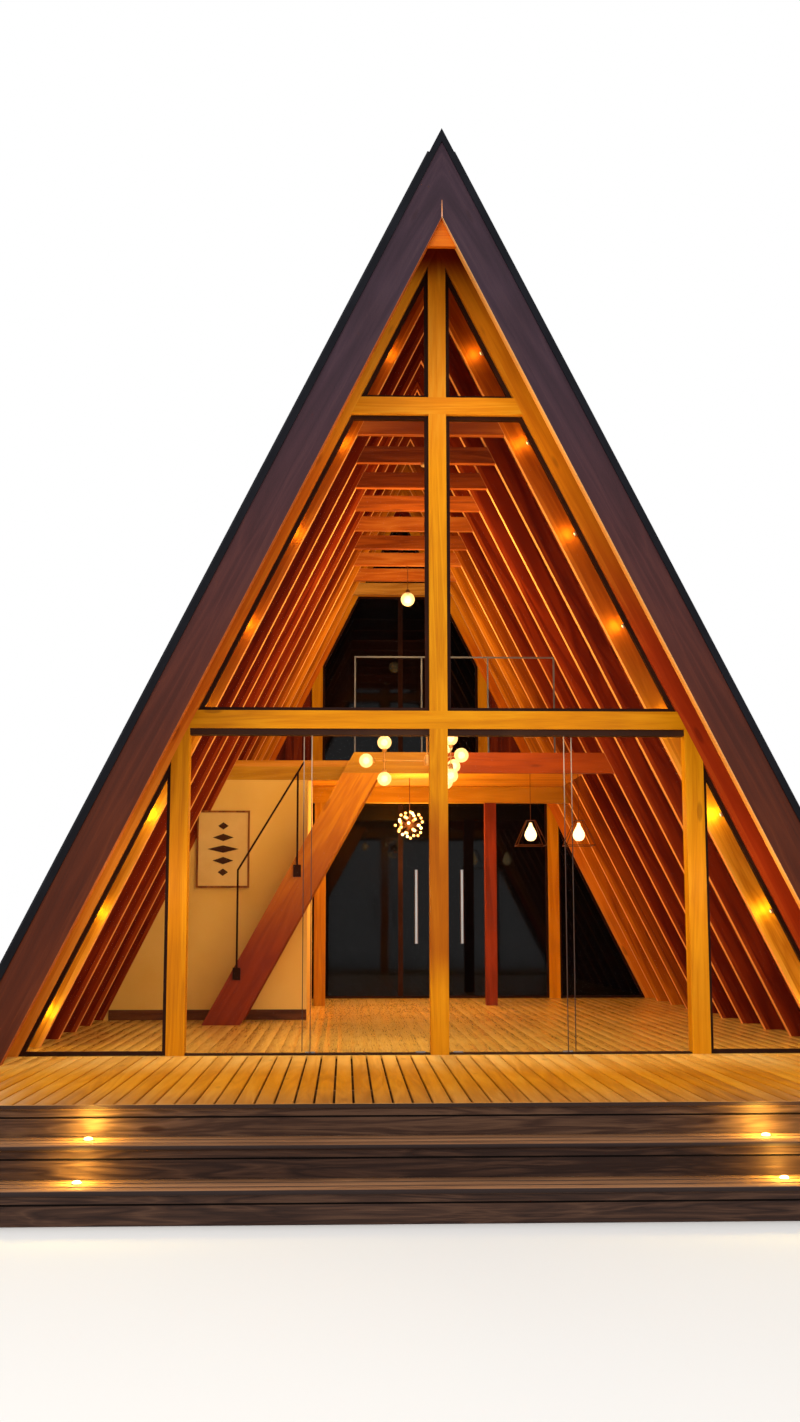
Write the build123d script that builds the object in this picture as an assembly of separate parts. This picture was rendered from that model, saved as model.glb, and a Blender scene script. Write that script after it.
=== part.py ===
from build123d import *
import math
import os

os.makedirs("parts", exist_ok=True)

# A timber A-frame cabin on a low platform, in millimetres, +Z up, +Y into the house.
# The origin lies on the ground at the middle of the whole footprint, steps included.

# Whole building
bay = 750
house_bays = 10
roof_apex_height = 6540
roof_half_angle = 26.33
front_overhang = 720
rear_overhang = 720

# Layers of the roof, measured square to the slope
covering_thickness = 30
roof_panel_thickness = 90
rafter_depth = 150
rafter_width = 60
facade_frame_depth = 150
fascia_depth = 265
fascia_thickness = 40
verge_trim_width = 42
verge_trim_thickness = 14
ridge_cap_thickness = 3
ridge_cap_leg = 160
gusset_height = 200
gusset_thickness = 38

# Collar ties inside the roof
collar_underside_height = 4750
collar_depth = 140

# Platform, from the ground up
floor_height = 485
pier_size = 220
pier_rows = 3
pier_spacing_bays = 3
bearer_depth = 160
bearer_width = 120
bearer_inset = 320
joist_depth = 120
joist_width = 50
board_thickness = 22
front_deck_depth = 2820
rear_deck_depth = 3200
platform_side_margin = 165
skirt_thickness = 25

# Front steps
step_count = 2
step_depth = 310
step_nosing = 14
riser_thickness = 25
riser_board_gap = 10
riser_upper_board = 38
step_block_width = 60
step_block_count = 7

# Facade timbers
post_size = 130
side_window_width = 1022
lower_transom_centre = 2365
upper_transom_centre = 4714
transom_height = 130
rear_lower_transom_centre = 2465
rear_upper_transom_centre = 4950
rear_jamb_inset = 833
infill_thickness = 36

# Glazing
glazing_bead_width = 28
glazing_bead_depth = 44
glass_thickness = 10
track_height = 45
track_depth = 84
floor_track_height = 12
door_split = 940
door_lap = 30
door_gap = 8
door_running_gap = 0.3
door_shoe_length = 70
door_shoe_inset = 60
door_layer_gap = 12
handle_offset = 163
handle_length = 520
handle_centre_height = 1030
handle_diameter = 24
handle_standoff = 30
handle_post_diameter = 14
handle_post_inset = 70

# Loft
loft_floor_top = 2460
loft_floor_thickness = 60
loft_beam_bottom = 2270
loft_beam_width = 60
loft_front_bay = 4
stairwell_bays = 1
loft_trimmer_offset = 590
loft_post_size = 125
loft_post_offset = 945
loft_post_bay = 8
loft_post_beam_bottom = 2220
loft_post_beam_width = 90
guard_height = 900
guard_bar = 14
guard_post_spacing = 820

# Stair along the left slope
stair_angle = 28.9
stringer_width = 300
stringer_thickness = 55
tread_count = 8
tread_thickness = 40
tread_depth = 200
rod_diameter = 18
rod_offsets = (1640, 1104)
rod_foot_heights = (400, 1320)
rod_top_heights = (1382, 2274)
rod_overrun = 110
rod_foot_width = 70
rod_foot_height = 110

# Partition on the left, behind the stair
partition_bay = 5
partition_thickness = 60
partition_corner_offset = 1030
picture_width = 505
picture_height = 735
picture_thickness = 28
picture_centre_height = 1605
picture_slope_clearance = 39

# Lamps
chandelier_height = 2230
chandelier_bay = 2
chandelier_rod_diameter = 12
chandelier_hub_diameter = 60
chandelier_arm_diameter = 10
chandelier_arm_count = 3
chandelier_arm_reach = 350
chandelier_globe_reach = 150
chandelier_globe_diameter = 115
pendant_rod_diameter = 8
pendant_cage_top = 80
pendant_cage_base = 287
pendant_cage_height = 250
pendant_cage_bottom = 1660
pendant_wire_diameter = 8
pendant_bulb_diameter = 120
pendant_canopy_diameter = 80
pendant_canopy_height = 20
pendant_offsets = (1170, 1650)
pendant_bay = 5.5
cluster_bay = 6.5
cluster_height = 1910
cluster_core_diameter = 130
cluster_reach = 130
cluster_bulb_diameter = 64
cluster_arm_diameter = 10
ridge_globe_bay = 7
ridge_globe_drop = 370
ridge_globe_diameter = 150
step_lamp_diameter = 54
step_lamp_height = 16
step_lamp_offsets = (-1960, 1495)
step_lamp_setback = 120
slope_spot_diameter = 40
slope_spot_length = 30
slope_spot_first = 1250
slope_spot_pitch = 820
slope_spot_count = 8
slope_spot_clearance = 25

# Railing of the rear deck
railing_height = 1000
railing_post_size = 90
railing_post_count = 5
railing_rail_depth = 40
railing_rod_diameter = 14
railing_rod_count = 3

# Places worked out from the sizes above
floor_top = floor_height
pier_height = floor_height - bearer_depth - joist_depth - board_thickness
apex_z = floor_top + roof_apex_height
tan_half = math.tan(math.radians(roof_half_angle))
cos_half = math.cos(math.radians(roof_half_angle))
sin_half = math.sin(math.radians(roof_half_angle))
house_length = bay * house_bays
steps_run = step_count * step_depth
front_reach = step_nosing + steps_run + front_deck_depth
footprint_length = front_reach + house_length + rear_deck_depth
front_y = front_reach - footprint_length / 2
rear_y = front_y + house_length
deck_front_y = front_y - front_deck_depth
deck_rear_y = rear_y + rear_deck_depth
panel_under = covering_thickness + roof_panel_thickness
rafter_under = panel_under + rafter_depth
frame_under = panel_under + facade_frame_depth
post_half = post_size / 2
board_bottom = floor_top - board_thickness
joist_bottom = board_bottom - joist_depth
loft_top_z = floor_top + loft_floor_top
loft_under_z = loft_top_z - loft_floor_thickness
loft_beam_z = floor_top + loft_beam_bottom
platform_half = roof_apex_height * tan_half + platform_side_margin
side_post_offset = roof_apex_height * tan_half - frame_under / cos_half - side_window_width - post_half
rear_jamb_offset = side_post_offset - rear_jamb_inset
tan_stair = math.tan(math.radians(stair_angle))


def slope_x(z, depth):
    """Half width at height z of the plane that lies depth inside the roof surface."""
    return (apex_z - z) * tan_half - depth / cos_half


def slope_apex(depth):
    """Height of the ridge line of that plane."""
    return apex_z - depth / sin_half


def frame_y(index):
    """Place of the A-frame with this number, counted from the front facade."""
    return front_y + bay * index


def block(x_from, x_to, y_from, y_to, z_from, z_to):
    """A squared timber or board between two corners."""
    size = (x_to - x_from, y_to - y_from, z_to - z_from)
    centre = ((x_from + x_to) / 2, (y_from + y_to) / 2, (z_from + z_to) / 2)
    return Pos(*centre) * Box(*size)


def upright_prism(points, y_from, y_to):
    """An outline in the X-Z plane carried from one Y to another."""
    face = make_face(Polyline(*points, close=True))
    plane = Plane(origin=(0, y_from, 0), x_dir=(1, 0, 0), z_dir=(0, -1, 0))
    return extrude(plane * face, amount=y_to - y_from, dir=(0, 1, 0))


def rod(start, end, diameter):
    """A round bar between two points."""
    path = Vector(*end) - Vector(*start)
    plane = Plane(origin=start, z_dir=path)
    return extrude(plane * Circle(diameter / 2), amount=path.length)


def slope_band(side, depth_from, depth_to, y_from, y_to, foot=floor_top):
    """One leg of the A: a band between two depths, cut level at its foot and mitred at the ridge."""
    points = [
        (side * slope_x(foot, depth_from), foot),
        (0, slope_apex(depth_from)),
        (0, slope_apex(depth_to)),
        (side * slope_x(foot, depth_to), foot),
    ]
    return upright_prism(points, y_from, y_to)


def inner_gable(depth, y_from, y_to, foot=floor_top):
    """Everything inside the plane at this depth, used to cut pieces to the slope."""
    points = [(-slope_x(foot, depth), foot), (0, slope_apex(depth)), (slope_x(foot, depth), foot)]
    return upright_prism(points, y_from, y_to)


def save(name, *pieces):
    """Write one node from its pieces."""
    solids = [solid for piece in pieces for solid in piece.solids()]
    shape = solids[0] if len(solids) == 1 else Compound(children=solids)
    export_step(shape, f"parts/{name}.step")


# Platform

def build_platform():
    """Piers, bearers, joists, the three floors and the boards that close the sides."""
    bearer_reach = platform_half - bearer_inset
    row_places = [bearer_reach * (2 * row / (pier_rows - 1) - 1) for row in range(pier_rows)]
    pier_first = deck_front_y + pier_size
    pier_last = deck_rear_y - pier_size
    pier_gaps = round((pier_last - pier_first) / (bay * pier_spacing_bays))
    pier_step = (pier_last - pier_first) / pier_gaps
    piers = []
    for x in row_places:
        for index in range(pier_gaps + 1):
            y = pier_first + index * pier_step
            half = pier_size / 2
            piers.append(block(x - half, x + half, y - half, y + half, 0, pier_height))
    save("foundation_piers", *piers)

    bearer_half = bearer_width / 2
    bearer_front = deck_front_y + riser_thickness
    bearer_rear = deck_rear_y - skirt_thickness
    save("floor_bearers", *[
        block(x - bearer_half, x + bearer_half, bearer_front, bearer_rear, pier_height, joist_bottom)
        for x in row_places
    ])

    joist_half = joist_width / 2
    joist_reach = platform_half - skirt_thickness
    joist_first = bearer_front + joist_half
    joist_last = bearer_rear - joist_half
    joist_gaps = round((joist_last - joist_first) / bay)
    joist_step = (joist_last - joist_first) / joist_gaps
    joists = []
    for index in range(joist_gaps + 1):
        y = joist_first + index * joist_step
        joists.append(block(-joist_reach, joist_reach, y - joist_half, y + joist_half,
                            joist_bottom, board_bottom))
    save("floor_joists", *joists)

    inside_front = front_y - post_half
    inside_rear = rear_y + post_half
    save("house_floor", block(-platform_half, platform_half, inside_front, inside_rear,
                              board_bottom, floor_top))
    save("front_deck", block(-platform_half, platform_half, deck_front_y - step_nosing, inside_front,
                             board_bottom, floor_top))
    save("rear_deck", block(-platform_half, platform_half, inside_rear, deck_rear_y,
                            board_bottom, floor_top))

    skirt_front = deck_front_y + riser_thickness
    skirts = [
        block(-platform_half, -platform_half + skirt_thickness, skirt_front, deck_rear_y,
              0, board_bottom),
        block(platform_half - skirt_thickness, platform_half, skirt_front, deck_rear_y,
              0, board_bottom),
        block(-platform_half + skirt_thickness, platform_half - skirt_thickness,
              deck_rear_y - skirt_thickness, deck_rear_y, 0, board_bottom),
    ]
    save("platform_skirts", *skirts)


def build_steps():
    """Two full-width treads in front of the deck, risers of two boards and the blocks behind."""
    rise = floor_top / (step_count + 1)
    treads = []
    risers = []
    blocks = []
    for step in range(step_count + 1):
        face_y = deck_front_y - (step_count - step) * step_depth
        top = rise * (step + 1)
        under = top - board_thickness
        base = rise * step
        if step < step_count:
            treads.append(block(-platform_half, platform_half, face_y - step_nosing,
                                face_y + step_depth, under, top))
        upper = under - riser_upper_board
        risers.append(block(-platform_half, platform_half, face_y, face_y + riser_thickness,
                            base, upper - riser_board_gap))
        risers.append(block(-platform_half, platform_half, face_y, face_y + riser_thickness,
                            upper, under))
        if step < step_count:
            reach = platform_half - step_block_width
            for index in range(step_block_count):
                x = reach * (2 * index / (step_block_count - 1) - 1)
                half = step_block_width / 2
                blocks.append(block(x - half, x + half, face_y + riser_thickness,
                                    face_y + step_depth, 0, under))
    save("front_steps", *treads)
    save("step_risers", *risers)
    save("step_blocks", *blocks)


# Roof and A-frames

def build_frames():
    """Pairs of rafters at every bay inside the house, each pair with its collar tie."""
    half = rafter_width / 2
    left = []
    right = []
    collars = []
    collar_z = floor_top + collar_underside_height
    for index in range(1, house_bays):
        y = frame_y(index)
        left.append(slope_band(-1, panel_under, rafter_under, y - half, y + half))
        right.append(slope_band(1, panel_under, rafter_under, y - half, y + half))
        reach_low = slope_x(collar_z, rafter_under)
        reach_high = slope_x(collar_z + collar_depth, rafter_under)
        collars.append(upright_prism([
            (-reach_low, collar_z), (reach_low, collar_z),
            (reach_high, collar_z + collar_depth), (-reach_high, collar_z + collar_depth),
        ], y - half, y + half))
    save("left_rafters", *left)
    save("right_rafters", *right)
    save("collar_ties", *collars)


def build_roof():
    """Covering, insulated panels with their boarded underside, fascias, trims and ridge cap."""
    roof_front = front_y - front_overhang
    roof_rear = rear_y + rear_overhang
    panel_front = roof_front + fascia_thickness
    panel_rear = roof_rear - fascia_thickness
    for side, name in ((-1, "left"), (1, "right")):
        save(f"roof_covering_{name}",
             slope_band(side, 0, covering_thickness, roof_front, roof_rear))
        save(f"roof_panel_{name}",
             slope_band(side, covering_thickness, panel_under, panel_front, panel_rear))
        save(f"front_fascia_{name}",
             slope_band(side, covering_thickness, covering_thickness + fascia_depth,
                        roof_front, panel_front))
    rear_fascia = slope_band(-1, covering_thickness, covering_thickness + fascia_depth,
                             panel_rear, roof_rear)
    rear_fascia += slope_band(1, covering_thickness, covering_thickness + fascia_depth,
                              panel_rear, roof_rear)
    save("rear_fascia", rear_fascia)

    trims = []
    for y_from, y_to in ((roof_front - verge_trim_thickness, roof_front),
                         (roof_rear, roof_rear + verge_trim_thickness)):
        trims.append(slope_band(-1, 0, verge_trim_width, y_from, y_to)
                     + slope_band(1, 0, verge_trim_width, y_from, y_to))
    save("verge_trims", *trims)

    leg_foot = apex_z - ridge_cap_leg * cos_half
    cap = slope_band(-1, -ridge_cap_thickness, 0, roof_front, roof_rear, foot=leg_foot)
    cap += slope_band(1, -ridge_cap_thickness, 0, roof_front, roof_rear, foot=leg_foot)
    save("ridge_cap", cap)

    gusset_bottom = slope_apex(covering_thickness + fascia_depth) - gusset_height
    gussets = []
    for y_from in (panel_front, panel_rear - gusset_thickness):
        gussets.append(inner_gable(panel_under, y_from, y_from + gusset_thickness,
                                   foot=gusset_bottom))
    save("ridge_gussets", *gussets)


# Facades

def pane_outlines(lower_bottom, door_head, upper_centre):
    """Openings between the timbers of one facade, as boxes (x from, x to, z from, z to)."""
    lower_top = lower_bottom + transom_height
    upper_bottom = floor_top + upper_centre - transom_height / 2
    upper_top = upper_bottom + transom_height
    wide = slope_x(floor_top, frame_under)
    inner = side_post_offset - post_half
    outer = side_post_offset + post_half
    peak = slope_apex(frame_under)
    return {
        "apex": (post_half, wide, upper_top, peak),
        "loft": (post_half, wide, lower_top, upper_bottom),
        "side": (outer, wide, floor_top, lower_bottom),
        "door": (post_half, inner, floor_top, door_head),
    }


def clipped(box, gable, y_from, y_to, side):
    """The part of an opening inside the slope, as a plate."""
    x_from, x_to, z_from, z_to = box
    low = min(side * x_from, side * x_to)
    high = max(side * x_from, side * x_to)
    return block(low, high, y_from, y_to, z_from, z_to) & gable


def bead_and_pane(box, y, side):
    """A slim metal frame round one opening and the glass that it holds."""
    gable = inner_gable(frame_under, y - bay, y + bay)
    half_bead = glazing_bead_depth / 2
    half_glass = glass_thickness / 2
    outer = clipped(box, gable, y - half_bead, y + half_bead, side)
    front_face = outer.faces().sort_by(Axis.Y)[0]
    inset = offset(front_face, amount=-glazing_bead_width, kind=Kind.INTERSECTION)
    core = extrude(inset, amount=glazing_bead_depth, dir=(0, 1, 0))
    pane = core & block(-platform_half, platform_half, y - half_glass, y + half_glass, 0, apex_z)
    return outer - core, pane


def facade_transoms(y, lower_centre, upper_centre):
    """The two transoms of one facade, which run through from slope to slope."""
    half = transom_height / 2
    gable = inner_gable(frame_under, y - post_half, y + post_half)
    return [block(-platform_half, platform_half, y - post_half, y + post_half, z - half, z + half)
            & gable for z in (floor_top + lower_centre, floor_top + upper_centre)]


def facade_post(x, y, z_from, z_to):
    """One post of a facade, cut to the slope where it reaches it."""
    gable = inner_gable(frame_under, y - post_half, y + post_half)
    return block(x - post_half, x + post_half, y - post_half, y + post_half, z_from, z_to) & gable


def build_front():
    """The front facade with its two sliding glass doors."""
    y_from = front_y - post_half
    y_to = front_y + post_half
    for side, name in ((-1, "left"), (1, "right")):
        save(f"front_frame_{name}", slope_band(side, panel_under, frame_under, y_from, y_to))
    save("front_transoms", *facade_transoms(front_y, lower_transom_centre, upper_transom_centre))
    lower_bottom = floor_top + lower_transom_centre - transom_height / 2
    lower_top = lower_bottom + transom_height
    upper_bottom = floor_top + upper_transom_centre - transom_height / 2
    upper_top = upper_bottom + transom_height
    save("front_posts", *[
        facade_post(x, front_y, z_from, z_to) for x, z_from, z_to in (
            (0, floor_top, lower_bottom), (0, lower_top, upper_bottom), (0, upper_top, apex_z),
            (-side_post_offset, floor_top, lower_bottom), (side_post_offset, floor_top, lower_bottom),
        )
    ])

    head_bottom = lower_bottom - track_height
    openings = pane_outlines(lower_bottom, head_bottom, upper_transom_centre)
    beads = []
    upper_panes = []
    side_panes = []
    for side in (-1, 1):
        for kind, keep in (("apex", upper_panes), ("loft", upper_panes), ("side", side_panes)):
            bead, pane = bead_and_pane(openings[kind], front_y, side)
            beads.append(bead)
            keep.append(pane)
    save("front_glazing_frames", *beads)
    save("front_upper_panes", *upper_panes)
    save("front_side_panes", *side_panes)

    track_front = front_y - track_depth / 2
    track_rear = front_y + track_depth / 2
    gable = inner_gable(frame_under, y_from, y_to)
    inner = side_post_offset - post_half
    tracks = []
    for side in (-1, 1):
        low = min(side * post_half, side * inner)
        high = max(side * post_half, side * inner)
        tracks.append(block(low, high, track_front, track_rear, head_bottom, lower_bottom) & gable)
        tracks.append(block(low, high, track_front, track_rear, floor_top,
                            floor_top + floor_track_height))
    save("front_door_tracks", *tracks)

    pane_bottom = floor_top + floor_track_height
    fixed_y = front_y - door_layer_gap / 2 - glass_thickness
    fixed = []
    for side in (-1, 1):
        box = (door_split - door_lap, inner, pane_bottom, head_bottom)
        fixed.append(clipped(box, gable, fixed_y, fixed_y + glass_thickness, side))
    save("front_fixed_panes", *fixed)

    door_y = front_y + door_layer_gap / 2
    for side, name in ((-1, "left"), (1, "right")):
        near = side * (post_half + door_gap)
        far = side * (door_split + door_lap)
        pane = block(min(near, far), max(near, far), door_y, door_y + glass_thickness,
                     pane_bottom + door_gap, head_bottom - door_gap)
        save(f"{name}_door_pane", pane)
        shoes = [block(x - door_shoe_length / 2, x + door_shoe_length / 2,
                       door_y, door_y + glass_thickness,
                       pane_bottom + door_running_gap, pane_bottom + door_gap)
                 for x in (near + side * door_shoe_inset, far - side * door_shoe_inset)]
        save(f"{name}_door_fittings", door_handle(side * handle_offset, door_y), *shoes)


def door_handle(x, glass_y):
    """A round pull bar in front of the glass on two short stand-off posts."""
    middle = floor_top + handle_centre_height
    bar_y = glass_y - handle_standoff - handle_diameter / 2
    low = middle - handle_length / 2
    high = middle + handle_length / 2
    handle = rod((x, bar_y, low), (x, bar_y, high), handle_diameter)
    for z in (low + handle_post_inset, high - handle_post_inset):
        handle += rod((x, bar_y, z), (x, glass_y, z), handle_post_diameter)
    return handle


def build_rear():
    """The rear facade: fixed glass with slim mullions, jamb posts and boarded corners."""
    y_from = rear_y - post_half
    y_to = rear_y + post_half
    rear_frame = slope_band(-1, panel_under, frame_under, y_from, y_to)
    rear_frame += slope_band(1, panel_under, frame_under, y_from, y_to)
    save("rear_frame", rear_frame)
    save("rear_transoms", *facade_transoms(rear_y, rear_lower_transom_centre,
                                           rear_upper_transom_centre))
    lower_bottom = floor_top + rear_lower_transom_centre - transom_height / 2
    lower_top = lower_bottom + transom_height
    upper_bottom = floor_top + rear_upper_transom_centre - transom_height / 2
    posts = []
    infills = []
    gable = inner_gable(frame_under, y_from, y_to)
    half_infill = infill_thickness / 2
    corner = (rear_jamb_offset + post_half, platform_half, lower_top, upper_bottom)
    for side in (-1, 1):
        posts.append(facade_post(side * side_post_offset, rear_y, floor_top, lower_bottom))
        posts.append(facade_post(side * rear_jamb_offset, rear_y, lower_top, upper_bottom))
        infills.append(clipped(corner, gable, rear_y - half_infill, rear_y + half_infill, side))
    save("rear_posts", *posts)
    save("rear_infills", *infills)

    openings = pane_outlines(lower_bottom, lower_bottom, rear_upper_transom_centre)
    beads = []
    upper_panes = []
    lower_panes = []
    for kind, keep in (("apex", upper_panes), ("loft", upper_panes), ("door", lower_panes)):
        x_from, x_to, z_from, z_to = openings[kind]
        if kind == "loft":
            x_to = rear_jamb_offset - post_half
        pair = None
        for side in (-1, 1):
            bead, pane = bead_and_pane((0, x_to, z_from, z_to), rear_y, side)
            pair = bead if pair is None else pair + bead
            keep.append(pane)
        beads.append(pair)
    for side in (-1, 1):
        bead, pane = bead_and_pane(openings["side"], rear_y, side)
        beads.append(bead)
        lower_panes.append(pane)
    save("rear_glazing_frames", *beads)
    save("rear_upper_panes", *upper_panes)
    save("rear_lower_panes", *lower_panes)


# Loft and stair

def build_loft():
    """Loft floor with its front beams, the stairwell notch, two posts and the guard."""
    beam_half = loft_beam_width / 2
    front = frame_y(loft_front_bay)
    well_rear = frame_y(loft_front_bay + stairwell_bays)
    rear = rear_y - post_half
    level_gable = inner_gable(rafter_under, front - bay, rear_y, foot=loft_beam_z)
    left_end = -loft_trimmer_offset
    edge_low = left_end - (loft_top_z - loft_beam_z) * tan_stair
    reach = platform_half

    front_beam = upright_prism([
        (edge_low, loft_beam_z), (reach, loft_beam_z), (reach, loft_top_z), (left_end, loft_top_z),
    ], front - beam_half, front + beam_half) & level_gable
    well_beam = block(-reach, left_end + loft_beam_width, well_rear - beam_half,
                      well_rear + beam_half, loft_beam_z, loft_under_z) & level_gable
    trimmer = block(left_end, left_end + loft_beam_width, front + beam_half,
                    well_rear - beam_half, loft_beam_z, loft_under_z)
    front_beams = front_beam + trimmer + well_beam

    behind_well = block(-reach, reach, well_rear - beam_half, rear, loft_under_z, loft_top_z)
    beside_well = block(left_end, reach, front + beam_half, well_rear - beam_half,
                        loft_under_z, loft_top_z)
    save("loft_floor", (behind_well + beside_well) & level_gable)

    post_beam_z = floor_top + loft_post_beam_bottom
    post_y = frame_y(loft_post_bay)
    post_beam_half = loft_post_beam_width / 2
    post_gable = inner_gable(rafter_under, front - bay, rear_y, foot=post_beam_z)
    post_beam = block(-reach, reach, post_y - post_beam_half, post_y + post_beam_half,
                      post_beam_z, loft_under_z) & post_gable
    save("loft_beams", front_beams, post_beam)
    half = loft_post_size / 2
    save("loft_posts", *[
        block(x - half, x + half, post_y - half, post_y + half, floor_top, post_beam_z)
        for x in (-loft_post_offset, loft_post_offset)
    ])

    guard_left = left_end
    guard_right = slope_x(loft_top_z + guard_height, rafter_under)
    bar = guard_bar / 2
    top = loft_top_z + guard_height
    gaps = math.ceil((guard_right - guard_left) / guard_post_spacing)
    spacing = (guard_right - guard_left - guard_bar) / gaps
    guard = block(guard_left, guard_right, front - bar, front + bar, top - guard_bar, top)
    for index in range(gaps + 1):
        x = guard_left + bar + index * spacing
        guard += block(x - bar, x + bar, front - bar, front + bar, loft_top_z, top)
    save("loft_guard", guard)


def build_stair():
    """A steep open stair that climbs beside the left slope, with a rod handrail."""
    front = frame_y(loft_front_bay)
    well_rear = frame_y(loft_front_bay + stairwell_bays)
    run = (loft_beam_z - floor_top) * tan_stair
    across = stringer_width / math.cos(math.radians(stair_angle))
    foot = -loft_trimmer_offset - loft_floor_top * tan_stair
    outline = [
        (foot, floor_top), (foot + across, floor_top),
        (foot + across + run, loft_beam_z), (foot + run, loft_beam_z),
    ]
    half = stringer_thickness / 2
    wall_face = well_rear - max(partition_thickness, loft_beam_width) / 2
    stringers = [upright_prism(outline, y - half, y + half) for y in (front, wall_face - half)]
    save("stair_stringers", *stringers)

    treads = []
    tread_rise = loft_floor_top / (tread_count + 1)
    for index in range(tread_count):
        height = tread_rise * (index + 1)
        middle = foot + across / 2 + height * tan_stair
        treads.append(block(middle - tread_depth / 2, middle + tread_depth / 2,
                            front + half, wall_face - stringer_thickness,
                            floor_top + height - tread_thickness, floor_top + height))
    save("stair_treads", *treads)

    rod_y = front - half - rod_diameter / 2
    half_foot = rod_foot_width / 2
    tops = []
    rail = None
    for offset_x, low, high in zip(rod_offsets, rod_foot_heights, rod_top_heights):
        top = Vector(-offset_x, rod_y, floor_top + high)
        tops.append(top)
        upright = rod((-offset_x, rod_y, floor_top + low), top, rod_diameter)
        upright += block(-offset_x - half_foot, -offset_x + half_foot, front - half - rod_diameter,
                         front - half, floor_top + low, floor_top + low + rod_foot_height)
        rail = upright if rail is None else rail + upright
    climb = (tops[1] - tops[0]).normalized()
    rail += rod(tops[0], tops[1] + climb * rod_overrun, rod_diameter)
    rail += Pos(*tops[0]) * Sphere(rod_diameter / 2)
    save("stair_handrail", rail)


def build_partition():
    """The plastered partition under the loft and the plain picture panel on it."""
    y = frame_y(partition_bay)
    half = partition_thickness / 2
    gable = inner_gable(rafter_under, y - half, y + half)
    wall = block(-platform_half, -partition_corner_offset, y - half, y + half,
                 floor_top, loft_beam_z) & gable
    save("partition_wall", wall)
    side_rear = frame_y(loft_post_bay) - loft_post_size / 2
    beam_rear = frame_y(loft_front_bay + stairwell_bays) + loft_beam_width / 2
    side_wall = block(-partition_corner_offset - partition_thickness, -partition_corner_offset,
                      y + half, side_rear, floor_top, loft_beam_z)
    side_wall += block(-partition_corner_offset - partition_thickness, -partition_corner_offset,
                       beam_rear, frame_y(loft_post_bay) - loft_post_beam_width / 2,
                       loft_beam_z, loft_under_z)
    save("partition_side_wall", side_wall)
    face = y - half
    picture_top = floor_top + picture_centre_height + picture_height / 2
    picture_left = picture_slope_clearance - slope_x(picture_top, panel_under)
    save("picture_panel", block(picture_left, picture_left + picture_width,
                                face - picture_thickness, face,
                                picture_top - picture_height, picture_top))


# Lamps and railing

def chandelier(hang):
    """Three level arms on a stem, each with globes above, below and beyond its end.

    The hub lies at the origin; hang is the height of the top of the stem.
    """
    lamp = rod((0, 0, 0), (0, 0, hang), chandelier_rod_diameter)
    lamp += Sphere(chandelier_hub_diameter / 2)
    reach = chandelier_globe_reach
    for index in range(chandelier_arm_count):
        turn = math.pi + 2 * math.pi * index / chandelier_arm_count
        out = Vector(math.cos(turn), math.sin(turn), 0)
        end = out * chandelier_arm_reach
        globes = [end + out * reach, end + Vector(0, 0, reach), end - Vector(0, 0, reach)]
        lamp += rod((0, 0, 0), globes[0], chandelier_arm_diameter)
        lamp += rod(globes[1], globes[2], chandelier_arm_diameter)
        for globe in globes:
            lamp += Pos(*globe) * Sphere(chandelier_globe_diameter / 2)
    return lamp


def caged_pendant(hang):
    """A bulb in a wire cage shaped as a cut pyramid.

    The middle of the cage's foot lies at the origin; hang is the height of the ceiling.
    """
    bulb_z = pendant_cage_height / 2
    lamp = rod((0, 0, bulb_z), (0, 0, hang), pendant_rod_diameter)
    lamp += Pos(0, 0, bulb_z) * Sphere(pendant_bulb_diameter / 2)
    lamp += rod((0, 0, hang - pendant_canopy_height), (0, 0, hang), pendant_canopy_diameter)
    corners = ((-1, -1), (1, -1), (1, 1), (-1, 1))
    half = pendant_cage_base / 2
    top_half = pendant_cage_top / 2
    base = [Vector(across * half, along * half, 0) for across, along in corners]
    thick = pendant_wire_diameter / 2
    lamp += block(-top_half - thick, top_half + thick, -top_half - thick, top_half + thick,
                  pendant_cage_height - thick, pendant_cage_height + thick)
    for index, corner in enumerate(base):
        across, along = corners[index]
        lamp += rod(base[index - 1], corner, pendant_wire_diameter)
        lamp += Pos(*corner) * Sphere(pendant_wire_diameter / 2)
        lamp += rod(corner, (across * top_half, along * top_half, pendant_cage_height),
                    pendant_wire_diameter)
    return lamp


def cluster_pendant(hang):
    """A ball of small bulbs round a core at the origin; hang is the height of the ceiling."""
    lamp = rod((0, 0, 0), (0, 0, hang), pendant_rod_diameter)
    lamp += Sphere(cluster_core_diameter / 2)
    golden = (1 + math.sqrt(5)) / 2
    for first in (-1, 1):
        for second in (-golden, golden):
            for way in ((0, first, second), (first, second, 0), (second, 0, first)):
                end = Vector(*way).normalized() * cluster_reach
                lamp += rod((0, 0, 0), end, cluster_arm_diameter)
                lamp += Pos(*end) * Sphere(cluster_bulb_diameter / 2)
    return lamp


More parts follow.
